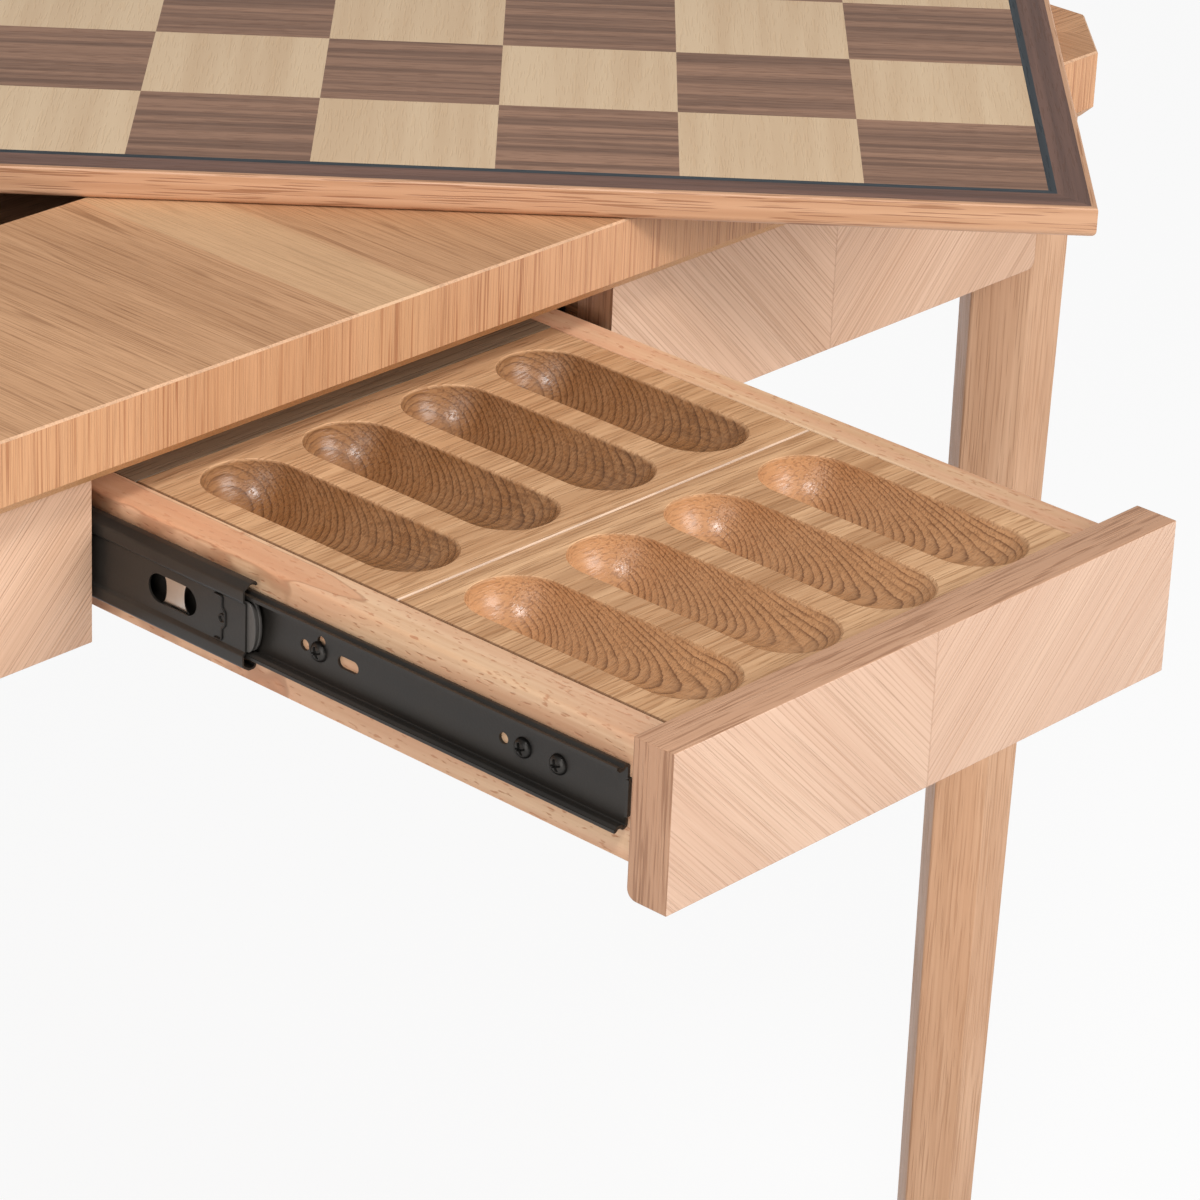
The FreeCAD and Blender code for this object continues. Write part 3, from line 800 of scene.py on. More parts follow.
@dataclass(frozen=True)
class SolidOak:
    """Solid oak with its grain along one axis, and a slow flame of growth rings."""

    name: str
    oak: Oak
    axis: Axis
    flame: Colour
    flame_share: float = 0.35
    rings: float = 9.0
    warm_share: float = 0.8
    tongue: HeartTongue | None = None

    def make(self) -> bpy.types.Material:
        """Adds contour lines of a long, slow noise to the plain figure.

        Returns:
            The finished material.
        """
        bench = Bench(self.name)
        spot = bench.place()
        along, across, depth = (spot[(self.axis.value + step) % 3] for step in range(3))
        grain = self.oak.grain(bench, along, across, depth)
        field = bench.noise(along * 2.4, across * 26.0, depth * 26.0, 0.5)
        ring = (field * (self.rings * 2 * math.pi)).sine() * 0.5 + 0.5
        warm = bench.patches(along * 5.0, across * 30.0, depth * 30.0, 0.45, 0.68)
        colour = bench.layers(grain.colour, (ring * self.flame_share, self.flame),
                              (warm * self.flame_share * self.warm_share, self.flame))
        if self.tongue:
            colour = self.tongue.stain(bench, spot, colour)
        return bench.close(colour, grain.roughness, grain.height, self.oak.relief)


@dataclass(frozen=True)
class WellFigure:
    """How one tray's wood shows: colours of its wells and ring lines, and how the rings lie."""

    # colour in the wells: partly the cut end grain, partly painted shade of the hollows
    well: Colour
    line: Colour
    ring: float
    zebra: float
    low_point: float
    bowl_share: float
    ray_share: float
    # share of the painted highlight along the tray's toe edge
    glint: float = 0.0


@dataclass(frozen=True)
class TrayOak:
    """Routed tray blocks: growth rings are wide arcs, so each scoop cuts them into curved lines."""

    name: str
    top: float
    half: float
    low_point: float
    toe: float
    inward: int
    figure: WellFigure
    bend: float = 2.5
    # colour of the painted shadow in the gap between the tray and the drawer sides
    seam_and_gap_shadow: Colour = tone(92, 60, 36)
    # colour of the painted highlight along the tray's edge at the toe
    arris_highlight: Colour = tone(250, 238, 226)
    seam_and_gap_shadow_share: float = 0.7
    well_tone_and_shade_share: float = 0.72
    line_share: float = 1.25

    def make(self) -> bpy.types.Material:
        """Shades a point by its height over the rings, more strongly down in the wells.

        The ring number of a point is (z - bend (y - low point)^2) / spacing, with a little noise.

        Returns:
            The finished material.
        """
        bench, figure = Bench(self.name), self.figure
        spot, face = bench.place(), bench.facing()
        grain = TRAY_OAK.grain(bench, spot.x, spot.y, spot.z)
        run = spot.y - self.low_point
        waver = bench.noise(spot.x * 14.0, spot.y * 24.0, spot.z * 26.0, 2.0) * 2.4
        frill = bench.noise(spot.x * 420.0, spot.y * 700.0, spot.z * 700.0, 1.0) * 0.28
        number = (spot.z - run * run * self.bend) / figure.ring + waver + frill
        saw = number - number.floor()
        ring = saw * saw * saw * saw * bench.rise(saw, 1.0, 0.88)
        # darker in the wells: partly the cut end grain, partly painted shade of the hollows
        depth = bench.rise(self.top - spot.z, 0.0002, 0.0014)
        bowl = bench.rise(face.y * -self.inward, 0.2, 0.55)
        faint = bench.patches(spot.x * 60.0, spot.y * 60.0, number.floor() * 3.1, 0.3, 0.6) * 0.5 + 0.5
        ring = ring * depth * faint * (1.0 - bowl * (1.0 - figure.bowl_share))
        zebra = ((number * (math.pi * 0.6)).sine() * 0.5 + 0.5) * (1.0 - depth)
        toe = bench.rise(abs(spot.y - self.toe), 0.09, 0.03) * depth
        ray = bench.patches(spot.x * 900.0, spot.y * 130.0, spot.z * 130.0, 0.46, 0.62)
        speck = bench.patches(spot.x * 220.0, spot.y * 1300.0, spot.z * 1300.0, 0.54, 0.68, 0.0)
        # painted shadow: a thin dark line along the tray's long edges, for the shade in the gap beside the drawer sides
        seam_and_gap_shadow = bench.rise(abs(spot.x), self.half - 0.0007, self.half - 0.0003)
        # painted highlight: a pale line along the toe edge, as if the eased edge caught the light
        arris_highlight = bench.rise(abs(spot.y - self.toe), 0.0009, 0.0005)
        colour = bench.layers(
            grain.colour, (zebra * figure.zebra, TRAY_OAK.pore), (depth * self.well_tone_and_shade_share, figure.well),
            (ring * self.line_share, figure.line), (ray * toe * figure.ray_share, figure.line),
            (speck * depth * (abs(face.x) * 0.2 + 0.2), figure.line), (seam_and_gap_shadow * self.seam_and_gap_shadow_share, self.seam_and_gap_shadow),
            (arris_highlight * figure.glint, self.arris_highlight))
        height = grain.height * (1.0 - depth * 0.6) - ring * 0.1 - speck * depth * 0.2
        return bench.close(colour, grain.roughness - depth * 0.15, height, TRAY_OAK.relief)


class BoardPart(Enum):
    """Which way the grain runs in each part of the board."""

    DARK_SQUARE = 0
    PALE_SQUARE = 1
    EDGE = 2


@dataclass(frozen=True)
class BoardVeneer:
    """Close-grained woods of the board, in the board's own turned frame."""

    name: str
    pale: Colour
    deep: Colour
    part: BoardPart
    lines: float = 230.0
    pore_lines: float = 1500.0
    pore_dashes: float = 110.0
    pore: Colour = tone(104, 76, 61)
    square: float = 0.0703
    centre: tuple[float, float, float] = (0.263, -0.1595, 0.0)
    turn: float = math.radians(-47.3)
    pore_share: float = 0.35
    roughness: float = 0.38
    fine_share: float = 0.7
    seed_share: float = 0.16
    relief: float = 0.00006

    def make(self) -> bpy.types.Material:
        """Draws fine lines along each square's grain, with a new run of them in every square or strip.

        Returns:
            The finished material.
        """
        bench = Bench(self.name)
        spot = bench.node("ShaderNodeTexCoord", output="Object")
        spot = bench.node("ShaderNodeMapping", {"vector_type": "TEXTURE"}, {
            "Vector": spot, "Location": self.centre, "Rotation": (0.0, 0.0, self.turn)})
        local = bench.axes(spot)
        if self.part is BoardPart.EDGE:
            upright = abs(local.x) > abs(local.y)
            along, across = bench.pick(upright, local.y, local.x), bench.pick(upright, local.x, local.y) + local.z
            seed = upright
        else:
            along, across = (local.y, local.x) if self.part is BoardPart.PALE_SQUARE else (local.x, local.y)
            seed = bench.chance((local.x / self.square).floor(), (local.y / self.square).floor())
        run = along + seed * 2.3
        broad = bench.noise(run * 5.0, across * 60.0, local.z * 60.0)
        fine = bench.patches(run * 4.0, across * self.lines + seed * 31.0, 0.5, 0.3, 0.7, 2.0)
        pore = bench.patches(run * self.pore_dashes, across * self.pore_lines, 0.5, 0.57, 0.7, 0.0)
        colour = bench.blend(fine * self.fine_share + broad * (1.0 - self.fine_share), self.deep, self.pale)
        colour = bench.layers(colour, (pore * self.pore_share, self.pore), (seed * self.seed_share, self.deep))
        return bench.close(colour, pore * 0.12 + self.roughness, fine * 0.3 - pore, self.relief)


@dataclass(frozen=True)
class CoatedMetal:
    """Metal or plastic with a fine, slightly mottled surface."""

    name: str
    base: Colour
    worn: Colour
    metallic: float
    roughness: float
    grit: float = 900.0
    relief: float = 0.00004

    def make(self) -> bpy.types.Material:
        """Mottles the colour and roughness with two sizes of noise.

        Returns:
            The finished material.
        """
        bench = Bench(self.name)
        spot = bench.place()
        fine = bench.noise(spot.x * self.grit, spot.y * self.grit, spot.z * self.grit, 2.0)
        slow = bench.noise(spot.x * 60.0, spot.y * 22.0, spot.z * 60.0, 2.0)
        colour = bench.blend(bench.rise(slow, 0.35, 0.7) * 0.6 + fine * 0.2, self.base, self.worn)
        rough = slow * 0.16 + fine * 0.1 + (self.roughness - 0.13)
        return bench.close(colour, rough, fine, self.relief, Metallic=self.metallic)


@dataclass
class Piece:
    """What a piece is built from: the CAD node that it stands for, the body that carries it and its finish."""

    node: str
    body: str
    finish: bpy.types.Material


@dataclass
class PieceTray(Piece):
    """A block with a row of scooped wells, deep towards the table and shallow towards the drawer front."""

    end: End
    wells: int = 4
    pitch: float = 50.2
    radius: float = 19.0
    margin: float = 8.25
    deep: float = 18.5
    shallow: float = 8.0
    ease: float = 0.5
    step: float = 2.1
    rim_out: float = 0.35
    rim_fall: float = 0.12
    rim_drop: float = 0.45
    rim_power: int = 8
    plate_rows: int = 5
    scoop_rows: int = 18

    def _depth(self, y: Array, low: float, high: float) -> Array:
        """Finds the depth of a well's middle line, which grows evenly between the centres of its two end arcs.

        Args:
            y: Places along the drawer.
            low: Where the middle line starts.
            high: Where it ends.

        Returns:
            The depth at each place.
        """
        share = np.clip((y - low) / (high - low), 0, 1)
        if self.end is End.BACK:
            share = 1 - share
        return self.shallow + (self.deep - self.shallow) * share

    def _well(self, rays: Rays, low: float, high: float, top: float) -> Array:
        """Surface of one cell, in rows from its rim to the bottom of its well.

        The plate runs in to the rim of the well, which is eased. Below it a point at share q of the radius r lies
        at -(sqrt(R^2 - q^2 r^2) - R + d), with R = (r^2 + d^2) / 2d: a round hollow of depth d.

        Args:
            rays: Lines from the well's middle line to the cell's rim.
            low: Where the middle line starts.
            high: Where it ends.
            top: Height of the plate.

        Returns:
            Points by row and by ray.
        """
        r, e = self.radius, self.ease
        share = np.linspace(0, 1, self.plate_rows)[:, None]
        plate = rays.reach + (r + e - rays.reach) * share
        rim = np.array([[r + self.rim_out * e], [r]]) + np.zeros_like(rays.reach)
        q = np.sin(np.linspace(math.pi / 2, 0, self.scoop_rows))[1:, None]
        scoop = r * q + np.zeros_like(rays.reach)
        out = np.concatenate([plate, rim, scoop])
        flat = rays.foot + rays.way * out[..., None]
        depth = self._depth(flat[len(plate) + len(rim):, :, 1], low, high)
        big = (r * r + depth * depth) / (2 * depth)
        drop = self.rim_drop * e
        hollow = -(np.sqrt(big * big - (q * r) ** 2) - big + depth) - drop * q ** self.rim_power
        fall = np.concatenate([np.zeros_like(plate), np.full_like(rim[:1], -self.rim_fall * e),
                               np.full_like(rim[1:], -drop), hollow])
        return np.concatenate([flat, (top + fall)[..., None]], axis=-1)

    def build(self) -> None:
        """Joins the cells of the plate, and drops eased sides from its outer rim to a flat bottom."""
        low, high = span(self.node)
        centre = (low[:2] + high[:2]) / 2
        e = self.ease
        shell = Shell(f"{self.node}_scooped")
        inner = (np.arange(1, self.wells) - self.wells / 2) * self.pitch
        walls = np.concatenate([[low[0] + e], inner, [high[0] - e]])
        ys = np.linspace(low[1] + e, high[1] - e, int((high[1] - low[1]) / self.step))
        half_run = (high[1] - low[1]) / 2 - self.margin - self.radius
        rims = []
        for index in range(self.wells):
            xs = np.linspace(walls[index], walls[index + 1], int((walls[index + 1] - walls[index]) / self.step))
            rim = cell_rim(xs, ys)
            x = (index - (self.wells - 1) / 2) * self.pitch
            rays = slot_rays(rim, (x, centre[1]), half_run, 1)
            shell.grid(self._well(rays, centre[1] - half_run, centre[1] + half_run, high[2]), closed=True)
            rims.append(rim)
        rim = np.unique(np.round(np.concatenate(rims), DIGITS), axis=0)
        ring = rim[np.isclose(rim[:, [0, 0, 1, 1]], [walls[0], walls[-1], ys[0], ys[-1]]).any(axis=1)]
        ring = ring[np.argsort(np.arctan2(ring[:, 1] - centre[1], ring[:, 0] - centre[0]))]
        half = (high[:2] - low[:2]) / 2
        grown = centre + (ring - centre) * half / (half - e)
        rows = np.stack([
            np.column_stack([ring, np.full(len(ring), high[2])]),
            np.column_stack([grown, np.full(len(ring), high[2] - e)]),
            np.column_stack([grown, np.full(len(ring), low[2])]),
        ])
        shell.grid(rows, closed=True)
        shell.cap(rows[-1])
        shell.make(self.body, self.finish, "oak_tray", [self.node])


@dataclass
class DrawerSide(Piece):
    """A drawer's side board: its upper outer edge well rounded, with a groove for the bottom."""

    side: int
    outer_round: float = 1.8
    inner_round: float = 0.9
    low_round: float = 0.6
    groove_depth: float = 6.0
    groove_rise: float = 5.5
    groove_height: float = 5.2
    groove_round: float = 0.3
    ease: float = 0.3

    def build(self) -> None:
        """Carries the board's section along Y."""
        low, high = span(self.node)
        outer, inner = (low[0], high[0]) if self.side < 0 else (high[0], low[0])
        g0, g1 = low[2] + self.groove_rise, low[2] + self.groove_rise + self.groove_height
        deep = inner + self.side * self.groove_depth
        corners = [(low[2], outer), (low[2], inner), (g0, inner), (g0, deep), (g1, deep), (g1, inner),
                   (high[2], inner), (high[2], outer)]
        radii = [self.low_round] * 2 + [self.groove_round] * 4 + [self.inner_round, self.outer_round]
        if self.side > 0:
            corners, radii = corners[::-1], radii[::-1]
        outline = rounded_line(corners, radii, 6)
        shell = Shell(f"{self.node}_board")
        shell.solid(bar_rows(outline, Axis.Y, low[1], high[1], self.ease))
        shell.make(self.body, self.finish, "oak_drawer", [self.node])


@dataclass
class DrawerFront(Piece):
    """A drawer's front board: crisp edges, and the lower rear edge rounded for the fingers."""

    end: End
    crisp: float = 0.5
    finger_round: float = 4.0

    def build(self) -> None:
        """Carries the board's section along X."""
        low, high = span(self.node)
        rounds = [self.crisp, self.finger_round, self.crisp, self.crisp]
        if self.end is End.BACK:
            rounds[:2] = rounds[1::-1]
        corners = [(low[1], low[2]), (high[1], low[2]), (high[1], high[2]), (low[1], high[2])]
        shell = Shell(f"{self.node}_board")
        shell.solid(bar_rows(rounded_line(corners, rounds, 6), Axis.X, low[0], high[0], self.crisp))
        shell.make(self.body, self.finish, "oak_veneer_chevron", [self.node])


@dataclass
class TaperedLeg(Piece):
    """A six-sided leg, straight beside the aprons and tapered below them, with softened arrises."""

    turn: int
    centre: float = 410.87
    inner_width: float = 39.1
    side_depth: float = 25.7
    outer_width: float = 7.0
    foot_share: float = 0.706
    taper_top: float = 653.5
    soft: float = 1.3
    foot_ease: float = 1.0

    def build(self) -> None:
        """Carries the section up the leg: ring z is the top ring times a share that grows evenly up the taper."""
        low, high = span(self.node)
        half, front = self.inner_width / 2, self.side_depth / 2
        nose, edge = front + half - self.outer_width / 2, self.outer_width / 2
        corners = [(-front, half), (-front, -half), (front, -half), (nose, -edge), (nose, edge), (front, half)]
        section = rounded_line(corners, self.soft, 4)
        foot = section * self.foot_share
        tip = foot + inward_normals(foot) * self.foot_ease
        plan = np.stack([tip, foot, section, section])
        heights = np.array([low[2], low[2] + self.foot_ease, self.taper_top, high[2]])
        u, v = plan[..., 0] * DIAGONAL, plan[..., 1] * DIAGONAL
        x, y = self.centre + u + v, -self.centre - u + v
        cos, sin = round(math.cos(math.radians(self.turn))), round(math.sin(math.radians(self.turn)))
        rows = np.stack([x * cos - y * sin, x * sin + y * cos, heights[:, None] + np.zeros_like(x)], axis=-1)
        shell = Shell(f"{self.node}_softened")
        shell.solid(rows)
        shell.make(self.body, self.finish, "oak_leg", [self.node])


class Hole(NamedTuple):
    """A round or long hole in a rail's web: its place from the front end, height, radius and straight run."""

    place: float
    height: float
    radius: float
    half_run: float = 0.0
    room: float = 3.0


@dataclass
class SteelRail(Piece):
    """A folded steel rail on each side of a drawer: a pierced web between two bent flanges."""

    end: End
    web_depth: float
    web_half: float
    flange: list[tuple[float, float]]
    flange_rounds: list[float]
    holes: list[Hole]
    start: float = 0.0
    tab: Sequence[tuple[float, float]] = ()
    tab_half: float = 8.0
    tab_round: float = 1.0
    wall: float = 1.2
    opening_half: float = 133.7
    heights: int = 15
    cell_columns: int = 13
    hole_rows: int = 4

    @property
    def levels(self) -> Array:
        """Heights over the axis of the rows of points in the web."""
        return np.linspace(-self.web_half, self.web_half, self.heights)

    def placed(self, run: Array, depth: Array, height: Array, side: int) -> Array:
        """Turns distances on a rail into places in the frame, in millimetres.

        Args:
            run: Distance from the rail's front end.
            depth: Distance from the runner.
            height: Height over the rail's axis.
            side: -1 for the left rail, 1 for the right.

        Returns:
            The places.
        """
        low, high = span(self.node)
        front = low[1] if self.end is End.FRONT else high[1]
        run, depth, height = np.broadcast_arrays(run, depth, height)
        return np.stack([side * (self.opening_half - depth), front + self.end.inward * run,
                         (low[2] + high[2]) / 2 + height], axis=-1)

    def _web(self, shell: Shell, side: int, length: float) -> Array:
        """Adds the web, cell by cell: a holed cell round each hole and a plain one between.

        Args:
            shell: The piece to add to.
            side: -1 for the left rail, 1 for the right.
            length: The rail's length.

        Returns:
            The places along the rail where the web's edges have points.
        """
        zs = self.levels
        stations = [np.array([self.start])]
        at = self.start
        for hole in sorted(self.holes):
            reach = hole.radius + hole.half_run + hole.room
            first, last = hole.place - reach, hole.place + reach
            plain = np.array([at, first])
            shell.grid(self.placed(plain[:, None], self.web_depth, zs, side))
            ys = np.linspace(first, last, self.cell_columns)
            rim = cell_rim(ys, zs)
            rays = slot_rays(rim, (hole.place, hole.height), hole.half_run, 0)
            out = rays.reach + (hole.radius - rays.reach) * np.linspace(0, 1, self.hole_rows)[:, None]
            flat = rays.foot + rays.way * out[..., None]
            shell.grid(self.placed(flat[..., 0], self.web_depth, flat[..., 1], side), closed=True)
            stations.append(ys)
            at = last
        shell.grid(self.placed(np.array([at, length])[:, None], self.web_depth, zs, side))
        return np.unique(np.round(np.concatenate([*stations, [length]]), DIGITS))

    def build(self) -> None:
        """Adds webs, flanges and end tabs on both sides, and gives the sheet its thickness."""
        low, high = span(self.node)
        length = high[1] - low[1]
        shell = Shell(f"{self.node}_folded")
        profile = rounded_line(self.flange, self.flange_rounds, 5, closed=False)
        for side in SIDES:
            runs = self._web(shell, side, length)
            for up in SIDES:
                shell.grid(self.placed(runs[:, None], profile[:, 0], up * profile[:, 1], side))
            if self.tab:
                bend = rounded_line(self.tab, self.tab_round, 6, closed=False)
                zs = self.levels[np.abs(self.levels) < self.tab_half]
                shell.grid(self.placed(bend[:, :1], bend[:, 1:], zs, side))
        shell.make(self.body, self.finish, "black_steel", [self.node], wall=self.wall)


@dataclass
class SlideSmallParts:
    """Small parts of one drawer's slides: bumpers, lock plates, lanced clips and screw heads."""

    end: End
    shop: "Workshop"
    middle: SteelRail
    drawer: SteelRail
    nose: float = 3.8
    tail: float = 12.0
    tail_round: float = 0.8
    bumper_half: float = 9.4
    bumper_ease: float = 0.3
    nose_points: int = 25
    layers: Sequence[tuple[float, float, float]] = ((4.9, 5.95, 1.0), (6.0, 7.1, 0.9), (7.15, 8.4, 1.0))
    lock_place: float = 36.6
    lock_depth: float = 5.5
    lock_half: float = 7.2
    lock_run: float = 6.7
    lock_hollow: float = 0.42
    lock_radius: float = 5.5
    lock_wall: float = 0.5
    lock_rows: int = 31
    lock_columns: int = 5
    clip_place: float = 11.5
    clip_depth: float = 3.55
    clip_half: float = 8.4
    clip_wire: float = 0.42
    clip_arm: float = 3.6
    clip_knee: float = 4.2
    clip_jog: float = 1.6
    clip_jog_half: float = 2.4
    clip_round: float = 0.7
    clip_ring: float = 1.5
    clip_ring_set: float = 0.2
    clip_points: int = 25
    screw_places: Sequence[float] = (32.0, 48.0, 144.0)
    head_radius: float = 3.8
    head_height: float = 2.1
    head_seat: float = 10.2
    cross_half: float = 0.5
    cross_reach: float = 2.3
    cross_depth: float = 1.3
    cross_turn: float = 0.4
    cross_wall: float = 0.24
    cross_tip: float = 0.5
    dome_power: float = 2.6
    head_rings: int = 26
    head_points: int = 80

    def bumpers(self) -> None:
        """Layers of plastic with a half-round nose: y = -nose sqrt(1 - (z / half)^2) past the rail's end."""
        node = f"{self.end.word}_slide_stops"
        shell = Shell(f"{node}_layered")
        for side in SIDES:
            for first, last, share in self.layers:
                half = self.bumper_half * share
                t = np.linspace(-math.pi / 2, math.pi / 2, self.nose_points)
                outline = np.concatenate([
                    np.stack([-self.nose * share * np.cos(t), -half * np.sin(t)], axis=1),
                    rounded_line([(0, -half), (self.tail, -half), (self.tail, half), (0, half)], self.tail_round, 4,
                                 False)[1:-1]])
                rows = bar_rows(outline, Axis.Z, first, last, self.bumper_ease)
                shell.solid(self.middle.placed(rows[..., 0], rows[..., 2], rows[..., 1], side))
        shell.make(self.middle.body, self.shop.plastic, "black_plastic", [node])

    def lock_plates(self) -> None:
        """Bright plates behind the front slots, hollowed at both ends: half length = run - share sqrt(r^2 - z^2)."""
        shell = Shell(f"{self.end.word}_lock_plates")
        z = np.linspace(-self.lock_half, self.lock_half, self.lock_rows)
        half = self.lock_run - self.lock_hollow * np.sqrt(np.clip(self.lock_radius ** 2 - z * z, 0, None))
        run = self.lock_place + half[:, None] * np.linspace(-1, 1, self.lock_columns)
        for side in SIDES:
            shell.grid(self.middle.placed(run, np.full_like(run, self.lock_depth), z[:, None] + 0 * run, side))
        shell.make(self.middle.body, self.shop.bright, "ball_steel", wall=self.lock_wall)

    def clips(self) -> None:
        """Lanced clips near the front end: a bracket of round wire with a small ring at its middle."""
        shell = Shell(f"{self.end.word}_lanced_clips")
        p, h = self.clip_place, self.clip_half
        half = [(p + self.clip_arm, h), (p, h), (p, self.clip_knee), (p - self.clip_jog, self.clip_jog_half)]
        bracket = rounded_line(half + [(x, -z) for x, z in half[::-1]], self.clip_round, 4, closed=False)
        a = np.linspace(0, 2 * math.pi, self.clip_points)
        ring = np.stack([p - self.clip_ring_set + self.clip_ring * np.cos(a), self.clip_ring * np.sin(a)], axis=1)
        for side in SIDES:
            for path in (bracket, ring):
                depth = np.full(len(path), self.clip_depth)
                shell.solid(tube_rows(self.middle.placed(path[:, 0], depth, path[:, 1], side), self.clip_wire))
        shell.make(self.middle.body, self.shop.screw, "black_steel")

    def screw_heads(self) -> None:
        """Domed heads with a cross: height = H (1 - q^power)^0.5 less a recess along both arms of the cross."""
        node = f"{self.end.word}_drawer_rail_screws"
        shell = Shell(f"{node}_domed")
        q = np.linspace(1, 0, self.head_rings)[:, None]
        a = np.linspace(0, 2 * math.pi, self.head_points, endpoint=False)
        ring = self.head_radius * q
        y, z = ring * np.cos(a), ring * np.sin(a)
        arms = np.abs([ring * np.cos(a + self.cross_turn), ring * np.sin(a + self.cross_turn)])
        cut = np.clip((self.cross_half + self.cross_wall / 2 - arms.min(axis=0)) / self.cross_wall, 0, 1)
        cut = cut * np.clip((self.cross_reach - arms.max(axis=0)) / self.cross_tip, 0, 1)
        lift = self.head_height * np.sqrt(1 - q ** self.dome_power) - self.cross_depth * cut
        for side in SIDES:
            for place in self.screw_places:
                rows = self.drawer.placed(place + y, self.head_seat - lift, z, side)
                shell.grid(rows, closed=True)
                shell.cap(rows[0])
        shell.make(self.drawer.body, self.shop.screw, "black_screw", [node])


def middle_rail(end: End, finish: bpy.types.Material) -> SteelRail:
    """Sizes the middle rails of one end's slides: a sunk web with long slots, raised bands and curled lips.

    Args:
        end: Which end of the table.
        finish: The rails' material.

    Returns:
        The rails, ready to build.
    """
    return SteelRail(
        f"{end.word}_middle_rails", f"{end.word}_middle_slides", finish, end, web_depth=4.2, web_half=8.8,
        flange=[(4.2, 8.8), (4.2, 9.2), (3.0, 10.3), (3.0, 14.45), (5.8, 16.28), (8.9, 16.28), (8.9, 14.95)],
        flange_rounds=[0, 0.6, 0.8, 1.0, 1.0, 1.0, 0],
        holes=[Hole(place, 0.0, 5.5, 6.7, 2.5) for place in (36.6, 229.4)], wall=0.8)


def drawer_rail(end: End, finish: bpy.types.Material) -> SteelRail:
    """Sizes the rails on a drawer's sides: a web with fixing holes, grooved flanges and a tab bent up at its end.

    Args:
        end: Which end of the table.
        finish: The rails' material.

    Returns:
        The rails, ready to build.
    """
    return SteelRail(
        f"{end.word}_drawer_rails", f"{end.word}_drawer", finish, end, web_depth=10.8, web_half=9.4,
        flange=[(10.8, 9.4), (10.8, 11.35), (9.0, 11.35), (8.1, 10.4), (6.5, 10.4), (5.6, 11.35), (4.9, 11.35)],
        flange_rounds=[0, 1.2, 0.5, 0.5, 0.5, 0.4, 0],
        holes=[Hole(57.0, 0.0, 2.1), Hole(130.0, 0.0, 2.3, 2.7), Hole(143.0, 4.2, 1.9, room=2.0),
               Hole(151.0, 0.0, 2.1, room=1.9)],
        start=1.8, tab=((1.8, 10.8), (0.6, 10.8), (0.6, 8.8)))


